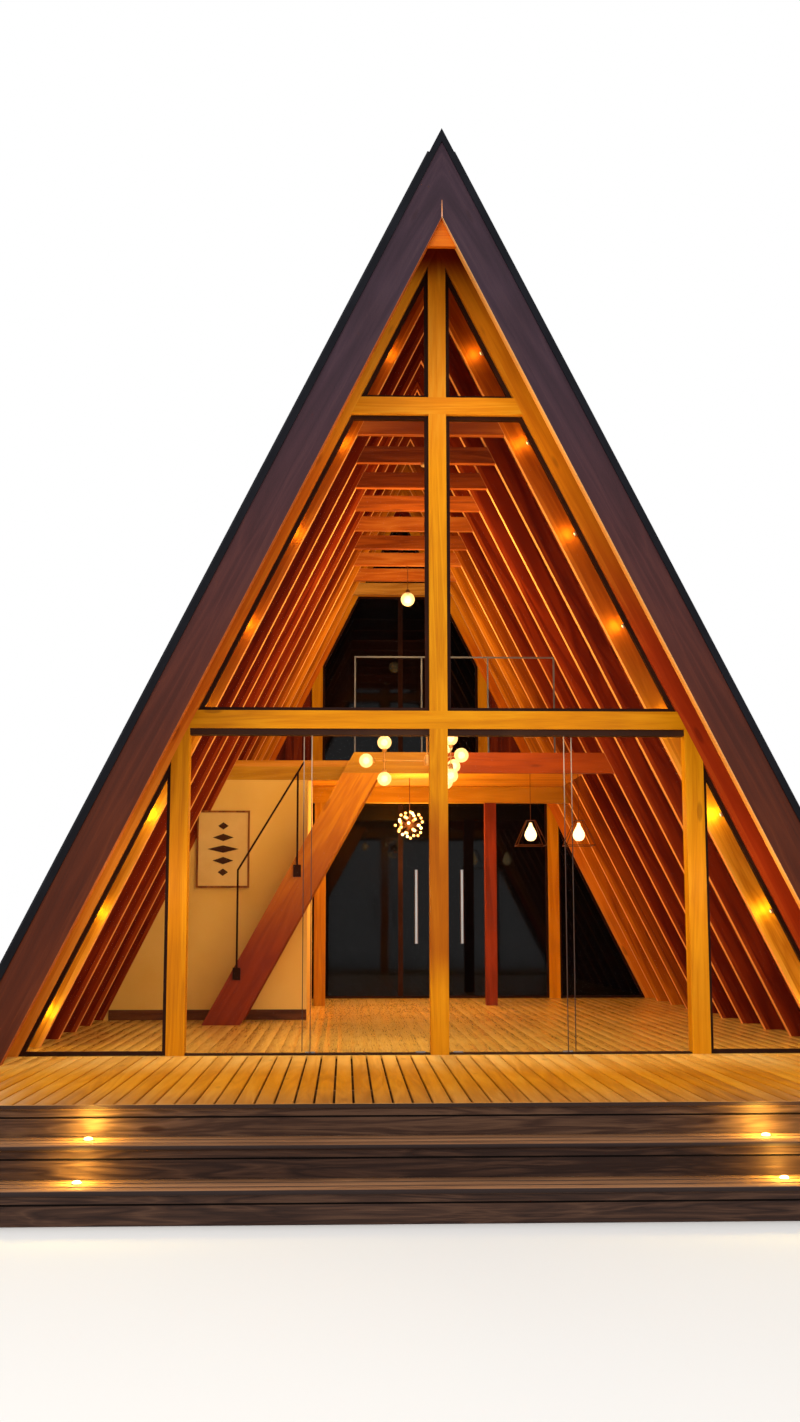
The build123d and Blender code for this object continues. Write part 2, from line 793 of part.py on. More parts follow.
def build_lamps():
    """The hanging lamps, the small lamps of the steps and the spots along the front slopes."""
    collar_under_z = floor_top + collar_underside_height
    hub_z = floor_top + chandelier_height
    save("chandelier", Pos(0, frame_y(chandelier_bay), hub_z) * chandelier(collar_under_z - hub_z))
    cage_z = floor_top + pendant_cage_bottom
    cage = caged_pendant(loft_under_z - cage_z)
    cluster_z = floor_top + cluster_height
    cluster = cluster_pendant(loft_under_z - cluster_z)
    globe = rod((0, 0, 0), (0, 0, ridge_globe_drop), pendant_rod_diameter)
    globe += Sphere(ridge_globe_diameter / 2)
    save("pendant_lamps", *[Pos(x, frame_y(pendant_bay), cage_z) * cage for x in pendant_offsets],
         Pos(0, frame_y(cluster_bay), cluster_z) * cluster,
         Pos(0, frame_y(ridge_globe_bay), collar_under_z - ridge_globe_drop) * globe)

    rise = floor_top / (step_count + 1)
    lamps = []
    for step in range(1, step_count + 1):
        face_y = deck_front_y - (step_count - step) * step_depth
        y = face_y - step_lamp_setback
        top = rise * step
        for x in step_lamp_offsets:
            lamps.append(rod((x, y, top), (x, y, top + step_lamp_height), step_lamp_diameter))
    save("step_lamps", *lamps)

    y = frame_y(1) - rafter_width / 2 - slope_spot_clearance - slope_spot_diameter / 2
    spots = []
    for side in (-1, 1):
        square = Vector(-side * cos_half, 0, -sin_half)
        for index in range(slope_spot_count):
            z = apex_z - (slope_spot_first + index * slope_spot_pitch) * cos_half
            root = Vector(side * slope_x(z, panel_under), y, z)
            spots.append(rod(root, root + square * slope_spot_length, slope_spot_diameter))
    save("slope_spots", *spots)


def build_railing():
    """Timber guard round the rear deck: posts and top rails, with thin rods between the posts."""
    half = railing_post_size / 2
    top = floor_top + railing_height
    post_top = top - railing_rail_depth
    left = -platform_half + half
    right = platform_half - half
    rear = deck_rear_y - half
    near = rear_y + rear_overhang + verge_trim_thickness + half
    gap = (right - left) / (railing_post_count - 1)
    rear_places = [left + gap * index for index in range(railing_post_count)]
    posts = [(x, rear) for x in rear_places] + [(left, near), (right, near)]
    railing = block(left - half, right + half, rear - half, rear + half, post_top, top)
    for x, y in posts:
        railing += block(x - half, x + half, y - half, y + half, floor_top, post_top)
    for x in (left, right):
        railing += block(x - half, x + half, near - half, rear - half, post_top, top)
    save("rear_railing", railing)

    rods = []
    for index in range(railing_rod_count):
        z = floor_top + (post_top - floor_top) * (index + 1) / (railing_rod_count + 1)
        for x in rear_places[:-1]:
            rods.append(rod((x + half, rear, z), (x + gap - half, rear, z), railing_rod_diameter))
        for x in (left, right):
            rods.append(rod((x, near + half, z), (x, rear - half, z), railing_rod_diameter))
    save("rear_railing_rods", *rods)


build_platform()
build_steps()
build_frames()
build_roof()
build_front()
build_rear()
build_loft()
build_stair()
build_partition()
build_lamps()
build_railing()
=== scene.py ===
"""Looks of a timber A-frame cabin: boards, finishes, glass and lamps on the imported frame."""
from __future__ import annotations

import logging
import math
from dataclasses import dataclass, replace
from enum import Enum
from functools import reduce

import bmesh
import bpy
from mathutils import Matrix, Vector


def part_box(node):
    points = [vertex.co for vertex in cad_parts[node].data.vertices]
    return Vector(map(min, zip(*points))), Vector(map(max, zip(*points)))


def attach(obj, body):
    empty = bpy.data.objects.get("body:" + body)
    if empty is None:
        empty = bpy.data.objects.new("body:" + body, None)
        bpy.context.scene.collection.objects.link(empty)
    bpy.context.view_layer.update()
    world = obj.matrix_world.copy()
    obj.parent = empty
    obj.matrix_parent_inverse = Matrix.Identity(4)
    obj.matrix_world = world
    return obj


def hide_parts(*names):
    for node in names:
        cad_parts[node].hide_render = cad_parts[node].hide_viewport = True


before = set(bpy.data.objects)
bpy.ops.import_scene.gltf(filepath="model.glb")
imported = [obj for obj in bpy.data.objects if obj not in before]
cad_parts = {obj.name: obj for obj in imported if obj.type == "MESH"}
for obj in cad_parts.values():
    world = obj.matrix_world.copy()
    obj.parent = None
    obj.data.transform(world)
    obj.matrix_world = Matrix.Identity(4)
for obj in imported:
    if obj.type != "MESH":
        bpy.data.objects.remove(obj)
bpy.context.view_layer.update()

LOG = logging.getLogger("cabin")
BODY = "cabin"
TONE = "tone"
SIDES = (("left", -1), ("right", 1))
X_AXIS = Vector((1, 0, 0))
Y_AXIS = Vector((0, 1, 0))
Z_AXIS = Vector((0, 0, 1))
STEP_LAMP_RADIUS = 0.027

Colour = tuple[int, int, int]
Point = tuple[float, float, float]
Socket = bpy.types.NodeSocket


class Grain(Enum):
    """Which way the fibres of a timber run."""

    ALONG_X = "x"
    ALONG_Y = "y"
    ALONG_Z = "z"
    SLOPE = "slope"
    STAIR = "stair"


class Axis(Enum):
    """The frame's axes, as numbers of a vector's parts."""

    ACROSS = 0
    BACK = 1
    UP = 2


def middle(node: str) -> Vector:
    """Returns the centre of a CAD node's box."""
    low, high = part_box(node)
    return (low + high) / 2


@dataclass(frozen=True)
class Site:
    """The main places of the building, read from the frame."""

    front_y: float
    floor: float
    apex: float
    half_angle: float
    panel_under: float = 0.12
    rafter_under: float = 0.27
    stair_angle: float = math.radians(28.9)
    spot_first: float = 1.25
    spot_pitch: float = 0.82
    spot_count: int = 8

    @classmethod
    def from_frame(cls) -> "Site":
        """Reads the places from the CAD nodes.

        Returns:
            The filled site.
        """
        low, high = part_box("roof_covering_left")
        return cls(front_y=middle("front_posts").y, floor=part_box("front_deck")[1].z, apex=high.z,
                   half_angle=math.atan2(high.x - low.x, high.z - low.z))

    @property
    def sin(self) -> float:
        """Sine of half the angle between the two slopes."""
        return math.sin(self.half_angle)

    @property
    def cos(self) -> float:
        """Cosine of half the angle between the two slopes."""
        return math.cos(self.half_angle)

    def slope_x(self, z: float, depth: float) -> float:
        """Half width of the roof at a height, on the plane that lies at a depth inside the roof."""
        return (self.apex - z) * math.tan(self.half_angle) - depth / self.cos

    def peak(self, depth: float) -> float:
        """Height at which the two planes at a depth inside the roof meet."""
        return self.apex - depth / self.sin

    def up(self, side: int) -> Vector:
        """Direction up the slope of the left side, -1, or of the right side, 1."""
        return Vector((-side * self.sin, 0, self.cos))

    def out(self, side: int) -> Vector:
        """Direction out of the roof on a side, square to its surface."""
        return Vector((side * self.cos, 0, self.sin))

    def point(self, x: float, back: float, up: float) -> Vector:
        """A place measured from the middle, the front posts and the floor."""
        return Vector((x, self.front_y + back, self.floor + up))

    def spot_heights(self) -> list[float]:
        """Heights of the spots along a front slope, from the top one down."""
        return [self.apex - (self.spot_first + index * self.spot_pitch) * self.cos
                for index in range(self.spot_count)]


SITE = Site.from_frame()


def linear(colour: Colour) -> tuple[float, float, float, float]:
    """Turns a screen colour into the linear colour that shaders take.

    Args:
        colour: red, green and blue from 0 to 255.

    Returns:
        The linear colour with a full alpha.
    """
    parts = []
    for value in colour:
        share = value / 255
        parts.append(share / 12.92 if share <= 0.04045 else ((share + 0.055) / 1.055) ** 2.4)
    return (parts[0], parts[1], parts[2], 1.0)


class NodeTree:
    """A node tree under construction: adds nodes and links them by name."""

    def __init__(self, tree: bpy.types.NodeTree) -> None:
        """Takes up the tree."""
        self.tree = tree

    def add(self, kind: str, inputs: dict | None = None, **settings: object) -> bpy.types.Node:
        """Adds one node.

        Args:
            kind: Blender's name of the node type.
            inputs: values or output sockets for the node's inputs, by name or number.
            settings: properties of the node.

        Returns:
            The new node.
        """
        node = self.tree.nodes.new(kind)
        for key, value in settings.items():
            setattr(node, key, value)
        for key, value in (inputs or {}).items():
            self.feed(node.inputs[key], value)
        return node

    def feed(self, socket: Socket, value: object) -> None:
        """Links an input to an output socket, or sets it to a plain value.

        Args:
            socket: the input.
            value: an output socket, or a plain value.
        """
        if isinstance(value, Socket):
            self.tree.links.new(value, socket)
        else:
            socket.default_value = value

    def math(self, operation: str, first: object, second: object = 0.0, clamp: bool = False) -> Socket:
        """Adds a Math node."""
        return self.add("ShaderNodeMath", {0: first, 1: second}, operation=operation,
                        use_clamp=clamp).outputs[0]

    def plus(self, first: object, second: object) -> Socket:
        """Adds two values."""
        return self.math("ADD", first, second)

    def minus(self, first: object, second: object) -> Socket:
        """Takes the second value from the first."""
        return self.math("SUBTRACT", first, second)

    def times(self, first: object, second: object) -> Socket:
        """Multiplies two values."""
        return self.math("MULTIPLY", first, second)

    def join(self, x: object, y: object, z: object) -> Socket:
        """Joins three values to a vector."""
        return self.add("ShaderNodeCombineXYZ", {0: x, 1: y, 2: z}).outputs[0]

    def seen(self) -> Socket:
        """1 for what the camera, a reflection or a view through glass shows, 0 for light alone.

        Returns:
            The value 1 or 0.
        """
        path = self.add("ShaderNodeLightPath").outputs
        either = self.math("MAXIMUM", path["Is Camera Ray"], path["Is Glossy Ray"])
        return self.math("MAXIMUM", either, path["Is Transmission Ray"])


class Shader(NodeTree):
    """A material under construction."""

    def __init__(self, name: str) -> None:
        """Starts a node material.

        Args:
            name: name of the material.
        """
        self.material = bpy.data.materials.new(name)
        self.material.use_nodes = True
        super().__init__(self.material.node_tree)
        self.surface = self.tree.nodes["Principled BSDF"]

    def span(self, value: object, low: float, high: float, to_low: float = 0.0, to_high: float = 1.0,
             smooth: bool = False) -> Socket:
        """Maps a value from one span to another, held at the ends."""
        return self.add("ShaderNodeMapRange", {0: value, 1: low, 2: high, 3: to_low, 4: to_high},
                        interpolation_type="SMOOTHSTEP" if smooth else "LINEAR").outputs[0]

    def blend(self, share: object, first: object, second: object, kind: str = "MIX") -> Socket:
        """Mixes two colours.

        Args:
            share: how much of the second colour.
            first: first colour or socket.
            second: second colour or socket.
            kind: Blender's blend type.

        Returns:
            The mixed colour.
        """
        node = self.add("ShaderNodeMix", data_type="RGBA", blend_type=kind)
        for socket, value in ((0, share), (6, first), (7, second)):
            self.feed(node.inputs[socket], value)
        return node.outputs[2]

    def shade(self, colour: object, tint: Colour) -> Socket:
        """Multiplies a colour by a tint."""
        return self.blend(1.0, colour, linear(tint), "MULTIPLY")

    def ramp(self, value: object, stops: list[tuple[float, Colour]]) -> Socket:
        """Adds a colour ramp.

        Args:
            value: the value that picks the colour.
            stops: positions and screen colours.

        Returns:
            The colour.
        """
        node = self.add("ShaderNodeValToRGB", {0: value})
        elements = node.color_ramp.elements
        while len(elements) < len(stops):
            elements.new(0.5)
        for element, (place, colour) in zip(elements, stops):
            element.position = place
            element.color = linear(colour)
        return node.outputs[0]

    def noise(self, vector: object, scale: float, detail: float = 3.0, rough: float = 0.55,
              distortion: float = 0.0) -> Socket:
        """Adds a noise texture."""
        return self.add("ShaderNodeTexNoise", {"Vector": vector, "Scale": scale, "Detail": detail,
                                               "Roughness": rough, "Distortion": distortion}).outputs[0]

    def place(self) -> tuple[Socket, ...]:
        """Splits the object coordinates to x, y and z.

        Returns:
            The x, y and z sockets.
        """
        coords = self.add("ShaderNodeTexCoord")
        split = self.add("ShaderNodeSeparateXYZ", {0: coords.outputs["Object"]})
        return split.outputs[0], split.outputs[1], split.outputs[2]

    def stretch(self, place: tuple[Socket, ...], scales: Point) -> Socket:
        """Joins three values to a vector, each times its own scale."""
        return self.join(*(self.times(value, scale) for value, scale in zip(place, scales)))

    def slope_depth(self) -> Socket:
        """Distance inside the roof surface, square to it, in metres.

        Returns:
            The distance, less than 0 outside the roof.
        """
        x, _, z = self.place()
        inward = self.times(self.minus(SITE.apex, z), SITE.sin)
        return self.minus(inward, self.times(self.math("ABSOLUTE", x), SITE.cos))

    def along(self, grain: Grain) -> tuple[Socket, ...]:
        """Coordinates with the first one along the fibres.

        Args:
            grain: which way the fibres run.

        Returns:
            The value along the fibres and the two across them.
        """
        x, y, z = self.place()
        if grain is Grain.ALONG_X:
            return x, y, z
        if grain is Grain.ALONG_Y:
            return y, x, z
        if grain is Grain.ALONG_Z:
            return z, x, y
        angle = SITE.half_angle if grain is Grain.SLOPE else SITE.stair_angle
        across = self.math("ABSOLUTE", x) if grain is Grain.SLOPE else self.times(x, -1.0)
        run = self.minus(self.times(across, math.sin(angle)), self.times(z, math.cos(angle)))
        side = self.plus(self.times(across, math.cos(angle)), self.times(z, math.sin(angle)))
        return run, y, side

    def finish(self, colour: object, rough: object, height: object = None, relief: float = 0.001,
               **constants: float) -> bpy.types.Material:
        """Sets the surface and returns the material.

        Args:
            colour: base colour.
            rough: roughness.
            height: bump height from 0 to 1, if any.
            relief: bump depth in metres.
            constants: plain values of the shader's other sockets, spaces as underscores.

        Returns:
            The material.
        """
        self.feed(self.surface.inputs["Base Color"], colour)
        self.feed(self.surface.inputs["Roughness"], rough)
        if height is not None:
            bump = self.add("ShaderNodeBump", {"Height": height, "Distance": relief})
            self.feed(self.surface.inputs["Normal"], bump.outputs[0])
        for key, value in constants.items():
            self.surface.inputs[key.replace("_", " ")].default_value = value
        return self.material


@dataclass(frozen=True)
class Tones:
    """The dark, usual and light colour of a timber."""

    dark: Colour
    body: Colour
    light: Colour

    def stops(self) -> list[tuple[float, Colour]]:
        """The stops of the timber's colour ramp."""
        return [(0.12, self.dark), (0.47, self.body), (0.85, self.light)]


class Wood:
    """The tones of each timber, with the warmth that the lamps give it and the shade that they leave, painted
    in places.
    """

    DECK = Tones((168, 98, 8), (208, 134, 16), (230, 162, 44))
    # Painted lamp light on the deck near the front glass, and painted shade on the deck further out and at
    # the floor's sides.
    DECK_LAMPLIT = Tones((212, 150, 48), (244, 190, 92), (252, 212, 126))
    DECK_SHADED = Tones((142, 88, 28), (184, 122, 44), (208, 150, 72))
    FLOOR = Tones((206, 152, 62), (234, 186, 92), (246, 208, 126))
    NOSING = Tones((170, 112, 50), (208, 152, 84), (230, 180, 116))
    TREAD = Tones((84, 58, 40), (130, 90, 60), (166, 120, 84))
    RISER = Tones((40, 25, 20), (64, 43, 33), (92, 66, 50))
    # Nearly black: painted shade for the strips in the gaps of the risers.
    GAP_SHADE = Tones((10, 6, 5), (16, 10, 8), (24, 16, 12))
    SKIRT = Tones((42, 30, 28), (70, 50, 42), (100, 76, 62))
    SAWN = Tones((70, 48, 34), (122, 88, 60), (158, 120, 84))
    # Fascia: the purple cast is a painted sky reflection; the warmer foot tones are painted lamp light.
    FASCIA = Tones((40, 28, 37), (57, 40, 51), (76, 56, 62))
    FASCIA_FOOT = Tones((56, 22, 9), (80, 34, 16), (108, 52, 26))
    LINING = Tones((78, 18, 8), (110, 32, 12), (142, 56, 22))
    RAFTER = Tones((92, 22, 6), (132, 42, 10), (168, 70, 20))
    # Painted lamp light on the front rafters, strongest low down, and on the rear rafters and the rear collar
    # tie.
    RAFTER_FRONT = Tones((150, 66, 10), (186, 92, 18), (214, 120, 36))
    RAFTER_GLOW = Tones((190, 118, 22), (232, 162, 44), (246, 190, 80))
    RAFTER_REAR = Tones((156, 78, 10), (204, 114, 20), (232, 148, 42))
    COLLAR = Tones((120, 48, 12), (172, 84, 24), (206, 124, 50))
    COLLAR_REAR = Tones((170, 110, 40), (206, 146, 66), (230, 180, 100))
    GUSSET = Tones((176, 74, 2), (206, 98, 2), (230, 132, 14))
    GOLD = Tones((184, 108, 1), (213, 138, 4), (233, 164, 22))
    BROWN = Tones((148, 74, 1), (174, 96, 3), (192, 118, 14))
    # Painted lamp light high on the front timbers, and painted shade at their tops under the gusset.
    BRIGHT = Tones((218, 120, 10), (240, 150, 22), (250, 180, 52))
    CROWN_SHADE = Tones((110, 22, 6), (138, 34, 8), (164, 56, 14))
    ORANGE = Tones((196, 84, 4), (222, 108, 6), (240, 142, 24))
    # Painted lamp light on the lower left frame.
    AMBER = Tones((206, 108, 20), (238, 142, 34), (250, 172, 70))
    HONEY = Tones((196, 96, 4), (224, 128, 10), (242, 160, 36))
    # Painted shade on the lower right frame.
    RUSSET = Tones((150, 42, 8), (180, 58, 12), (208, 90, 24))
    INFILL = Tones((70, 18, 8), (108, 34, 12), (140, 56, 20))
    SEAL = Tones((40, 22, 12), (62, 36, 20), (84, 54, 32))
    # Lighter tones for the upper part of the seals.
    SEAL_TOP = Tones((150, 136, 120), (186, 172, 156), (214, 204, 190))
    BEAM = Tones((132, 50, 4), (166, 70, 6), (196, 100, 20))
    # Painted lamp light on the left and rear of the loft beams.
    BEAM_LEFT = Tones((150, 92, 6), (190, 130, 12), (220, 160, 36))
    BEAM_REAR = Tones((144, 90, 6), (184, 124, 10), (212, 150, 32))
    LOFT_FLOOR = Tones((170, 96, 12), (208, 130, 22), (236, 166, 60))
    LOFT_POST = Tones((100, 32, 10), (136, 50, 18), (170, 76, 30))
    # Painted lamp light on the left loft posts.
    LOFT_POST_LEFT = Tones((156, 96, 6), (190, 130, 14), (216, 158, 40))
    STRINGER = Tones((176, 94, 3), (212, 132, 5), (232, 160, 32))
    # Painted shade on the lower part of the stringers.
    STRINGER_FOOT = Tones((110, 34, 8), (138, 50, 14), (166, 76, 24))
    STAIR_TREAD = Tones((110, 44, 8), (160, 74, 16), (196, 110, 36))
    SKIRTING = Tones((56, 26, 12), (92, 48, 24), (120, 70, 36))
    PICTURE_RAIL = Tones((120, 62, 20), (164, 98, 40), (196, 132, 66))
    RAILING = Tones((120, 70, 34), (178, 122, 66), (208, 156, 98))


@dataclass(frozen=True)
class Span:
    """A stretch of one axis, over which something comes in from start to end."""

    axis: Axis
    start: float
    end: float


def across_middle(start: float, end: float) -> Span:
    """A span sideways, measured from the middle of the cabin."""
    return Span(Axis.ACROSS, start, end)


def behind_front(start: float, end: float) -> Span:
    """A span from front to back, measured from the front posts."""
    return Span(Axis.BACK, SITE.front_y + start, SITE.front_y + end)


def above_floor(start: float, end: float) -> Span:
    """A span of height, measured from the floor."""
    return Span(Axis.UP, SITE.floor + start, SITE.floor + end)


def below_apex(start: float, end: float) -> Span:
    """A span of height, measured down from the apex."""
    return Span(Axis.UP, SITE.apex - start, SITE.apex - end)


class Zone:
    """A part of a timber with other tones, which holds where all of its spans hold."""

    def __init__(self, tones: Tones, *spans: Span) -> None:
        """Notes the zone."""
        self.tones = tones
        self.spans = spans


@dataclass(frozen=True)
class Timber:
    """A sawn or planed timber with long figure, fibres, knots and board to board variation."""

    name: str
    grain: Grain
    tones: Tones
    rough: float = 0.5
    gloss: float = 0.22
    figure: float = 1.0
    contrast: float = 1.0
    knots: float = 0.5
    relief: float = 0.0012
    board: float = 0.0
    toned: bool = False
    variety: float = 0.35
    zones: tuple[Zone, ...] = ()
    front_darkening: Colour | None = None
    edge_light: Colour | None = None
    edge_depth: float = 0.0

    RING_WAVES = (0.55, 7.0, 7.0)
    RING_COUNT = 9.0
    FIBRE_WAVES = (5.0, 170.0, 170.0)
    KNOT_WAVES = (1.1, 4.0, 4.0)
    TONE_SHIFT = 37.0
    RING_SHARE = 0.42
    FIBRE_SHARE = 0.5
    MIDDLE = 0.47
    PLAIN_BOARD = 0.72
    EDGE_BLUR = 0.004
    KNOT_TINT = (150, 120, 110)
    STAIN_TINT = (205, 190, 180)

    def build(self) -> bpy.types.Material:
        """Builds the node material.

        Returns:
            The material.
        """
        shader = Shader(self.name)
        run, first, second = shader.along(self.grain)
        tone = self.board_tone(shader, first, second)
        lengthways, *sideways = self.RING_WAVES
        slow = shader.join(shader.plus(shader.times(run, lengthways), shader.times(tone, self.TONE_SHIFT)),
                           shader.times(first, sideways[0]), shader.times(second, sideways[1]))
        figure = shader.noise(slow, self.figure, 3.0, 0.5, 0.7)
        rings = shader.math("PINGPONG", shader.times(figure, self.RING_COUNT), 1.0)
        fibre = shader.noise(shader.stretch((run, first, second), self.FIBRE_WAVES), 1.0, 2.0, 0.6)
        pick = shader.plus(shader.times(rings, self.RING_SHARE), shader.times(fibre, self.FIBRE_SHARE))
        pick = shader.times(shader.minus(pick, self.MIDDLE), self.contrast)
        pick = shader.plus(pick, shader.times(tone, self.variety))
        colour = self.colour(shader, shader.plus(pick, self.MIDDLE - self.variety / 2))
        knot = self.knot(shader, (run, first, second))
        colour = shader.blend(shader.times(knot, self.knots), colour, shader.shade(colour, self.KNOT_TINT))
        stain = shader.span(shader.noise(shader.join(run, first, second), 1.3, 2.0), 0.42, 0.75, 0.0, 0.4)
        colour = shader.blend(stain, colour, shader.shade(colour, self.STAIN_TINT))
        height = shader.plus(shader.times(fibre, 0.6), shader.times(rings, 0.25))
        height = shader.minus(height, shader.times(knot, 0.2))
        if self.board > 0:
            height = shader.minus(height, self.seam(shader, first, second))
        rough = shader.span(fibre, 0.2, 0.8, self.rough - 0.07, self.rough + 0.1)
        return shader.finish(self.lines(shader, colour), rough, height, self.relief,
                             Specular_IOR_Level=self.gloss)

    def colour(self, shader: Shader, pick: object) -> Socket:
        """Colours the figure, zone by zone.

        Args:
            shader: the material under construction.
            pick: place on the colour ramps.

        Returns:
            The colour.
        """
        colour = shader.ramp(pick, self.tones.stops())
        places = shader.place()
        for zone in self.zones:
            shares = [shader.span(places[span.axis.value], span.start, span.end, smooth=True)
                      for span in zone.spans]
            colour = shader.blend(reduce(shader.times, shares), colour, shader.ramp(pick, zone.tones.stops()))
        return colour

    def lines(self, shader: Shader, colour: object) -> Socket:
        """Darkens faces that look to the front, and paints a highlight on the lit inner edge.

        Args:
            shader: the material under construction.
            colour: the colour so far.

        Returns:
            The colour with both.
        """
        # Faces that look to the front are made darker.
        if self.front_darkening is not None:
            normal = shader.add("ShaderNodeNewGeometry").outputs["Normal"]
            facing = shader.add("ShaderNodeSeparateXYZ", {0: normal}).outputs[1]
            colour = shader.blend(shader.span(facing, -0.35, -0.6), colour, linear(self.front_darkening))
        # Painted highlight: the inner edge face gets the colour of lamp light on it.
        if self.edge_light is not None:
            inner = shader.span(shader.slope_depth(), self.edge_depth - self.EDGE_BLUR,
                                self.edge_depth - self.EDGE_BLUR / 4)
            colour = shader.blend(shader.times(inner, 0.9), colour, linear(self.edge_light))
        return colour

    def across(self, first: object, second: object) -> object:
        """Picks the value that counts the boards from face to face."""
        return second if self.grain is Grain.SLOPE else first

    def board_tone(self, shader: Shader, first: object, second: object) -> Socket:
        """A steady random value for each board.

        Args:
            shader: the material under construction.
            first: first value across the fibres.
            second: second value across the fibres.

        Returns:
            The value from 0 to 1.
        """
        if self.toned:
            return shader.add("ShaderNodeAttribute", attribute_name=TONE).outputs["Fac"]
        pitch = self.board if self.board > 0 else self.PLAIN_BOARD
        counter = shader.math("FLOOR", shader.math("DIVIDE", self.across(first, second), pitch))
        return shader.add("ShaderNodeTexWhiteNoise", {"W": counter}, noise_dimensions="1D").outputs[0]

    def seam(self, shader: Shader, first: object, second: object) -> Socket:
        """The joint between two boards, as a bump value."""
        place = shader.math("DIVIDE", self.across(first, second), self.board)
        return shader.span(shader.math("PINGPONG", place, 0.5), 0.0, 0.03, 3.0, 0.0)

    def knot(self, shader: Shader, place: tuple[Socket, ...]) -> Socket:
        """Scattered knots as a mask from 0 to 1.

        Args:
            shader: the material under construction.
            place: the value along the fibres and the two across them.

        Returns:
            The mask.
        """
        cells = shader.add("ShaderNodeTexVoronoi", {"Vector": shader.stretch(place, self.KNOT_WAVES),
                                                    "Scale": 1.0})
        return shader.span(cells.outputs["Distance"], 0.05, 0.1, 1.0, 0.0, smooth=True)


@dataclass(frozen=True)
class Metal:
    """A metal or painted metal with fine brushing or speckle and rubbed patches."""

    name: str
    colour: Colour
    worn: Colour
    rough: float
    metallic: float
    brush: Point = (60.0, 60.0, 60.0)
    relief: float = 0.0004
    gloss: float = 0.3

    def build(self) -> bpy.types.Material:
        """Builds the node material.

        Returns:
            The material.
        """
        shader = Shader(self.name)
        place = shader.place()
        fine = shader.noise(shader.stretch(place, self.brush), 1.0, 3.0)
        broad = shader.noise(shader.join(*place), 2.1, 4.0, 0.6)
        colour = shader.blend(shader.span(broad, 0.45, 0.75), linear(self.colour), linear(self.worn))
        colour = shader.blend(shader.span(fine, 0.3, 0.9, 0.0, 0.35), colour, linear(self.worn))
        rough = shader.span(fine, 0.2, 0.8, self.rough - 0.06, self.rough + 0.1)
        return shader.finish(colour, rough, fine, self.relief, Metallic=self.metallic,
                             Specular_IOR_Level=self.gloss)


@dataclass(frozen=True)
class Mineral:
    """Plaster, concrete or another mineral face with soft clouding and grit."""

    name: str
    colour: Colour
    shade: Colour
    rough: float = 0.85
    cloud: float = 0.8
    grit: float = 90.0
    relief: float = 0.0008

    def build(self) -> bpy.types.Material:
        """Builds the node material.

        Returns:
            The material.
        """
        shader = Shader(self.name)
        place = shader.join(*shader.place())
        cloud = shader.noise(place, self.cloud, 5.0, 0.6)
        grit = shader.noise(place, self.grit, 2.0)
        colour = shader.blend(shader.span(cloud, 0.35, 0.75), linear(self.colour), linear(self.shade))
        colour = shader.blend(shader.span(grit, 0.4, 0.8, 0.0, 0.2), colour, linear(self.shade))
        rough = shader.span(grit, 0.2, 0.8, self.rough - 0.05, self.rough + 0.08)
        return shader.finish(colour, rough, grit, self.relief)


@dataclass(frozen=True)
class Glass:
    """A pane: mostly clear head on, more mirror-like at a low angle, with faint smears."""

    name: str
    colour: Colour
    clear: float
    rough: float
    mirror: float
    gloss: float

    SMEAR_LIFT = 10

    def build(self) -> bpy.types.Material:
        """Builds the node material.

        Returns:
            The material.
        """
        shader = Shader(self.name)
        place = shader.join(*shader.place())
        smear = shader.noise(place, 1.6, 4.0, 0.6, 0.8)
        facing = shader.add("ShaderNodeLayerWeight", {"Blend": 0.25}).outputs["Fresnel"]
        body = shader.math("ADD", 1.0 - self.clear, shader.times(facing, self.mirror), clamp=True)
        body = shader.math("ADD", body, shader.span(smear, 0.5, 0.8, 0.0, 0.015), clamp=True)
        shader.feed(shader.surface.inputs["Alpha"], body)
        rough = shader.span(smear, 0.4, 0.8, self.rough, self.rough + 0.04)
        lighter = tuple(value + self.SMEAR_LIFT for value in self.colour)
        colour = shader.blend(shader.span(smear, 0.4, 0.9, 0.0, 0.3), linear(self.colour), linear(lighter))
        return shader.finish(colour, rough, shader.noise(place, 0.9, 1.0), 0.0006, IOR=1.5,
                             Specular_IOR_Level=self.gloss)


@dataclass(frozen=True)
class Glow:
    """A lit bulb or lens."""

    name: str
    colour: Colour
    strength: float
    body: float = 1.0

    FROST = (255, 250, 240)

    def build(self) -> bpy.types.Material:
        """Builds the node material.

        Returns:
            The material.
        """
        shader = Shader(self.name)
        frost = shader.noise(shader.join(*shader.place()), 140.0, 2.0)
        colour = shader.blend(shader.span(frost, 0.3, 0.8, 0.0, 0.25), linear(self.colour),
                              linear(self.FROST))
        shader.feed(shader.surface.inputs["Emission Color"], colour)
        return shader.finish(colour, shader.span(frost, 0.2, 0.8, 0.2, 0.35), frost, 0.0002,
                             Emission_Strength=self.strength, Alpha=self.body)


Finish = Timber | Metal | Mineral | Glass | Glow


def dress(finish: Finish, *nodes: str) -> bpy.types.Material:
    """Builds a finish and gives it to CAD nodes.

    Args:
        finish: the finish.
        nodes: names of the nodes.

    Returns:
        The material.
    """
    material = finish.build()
    for node in nodes:
        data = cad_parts[node].data
        data.materials.clear()
        data.materials.append(material)
    return material


def placed(name: str, data: bpy.types.ID) -> bpy.types.Object:
    """Adds an object with this data to the scene, at the origin.

    Args:
        name: name of the object.
        data: its mesh, lamp or camera.

    Returns:
        The new object.
    """
    item = bpy.data.objects.new(name, data)
    bpy.context.scene.collection.objects.link(item)
    return item


def ride(piece: bpy.types.Object, slot: str, *nodes: str, body: str = BODY) -> bpy.types.Object:
    """Fixes a piece to a body and hides the CAD nodes that it stands for.

    Args:
        piece: the piece.
        slot: not used.
        nodes: CAD nodes that it replaces.
        body: the body that carries it.

    Returns:
        The same piece.
    """
    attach(piece, body)
    if nodes:
        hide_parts(*nodes)
    LOG.info("%s: %d faces", piece.name, len(piece.data.polygons))
    return piece


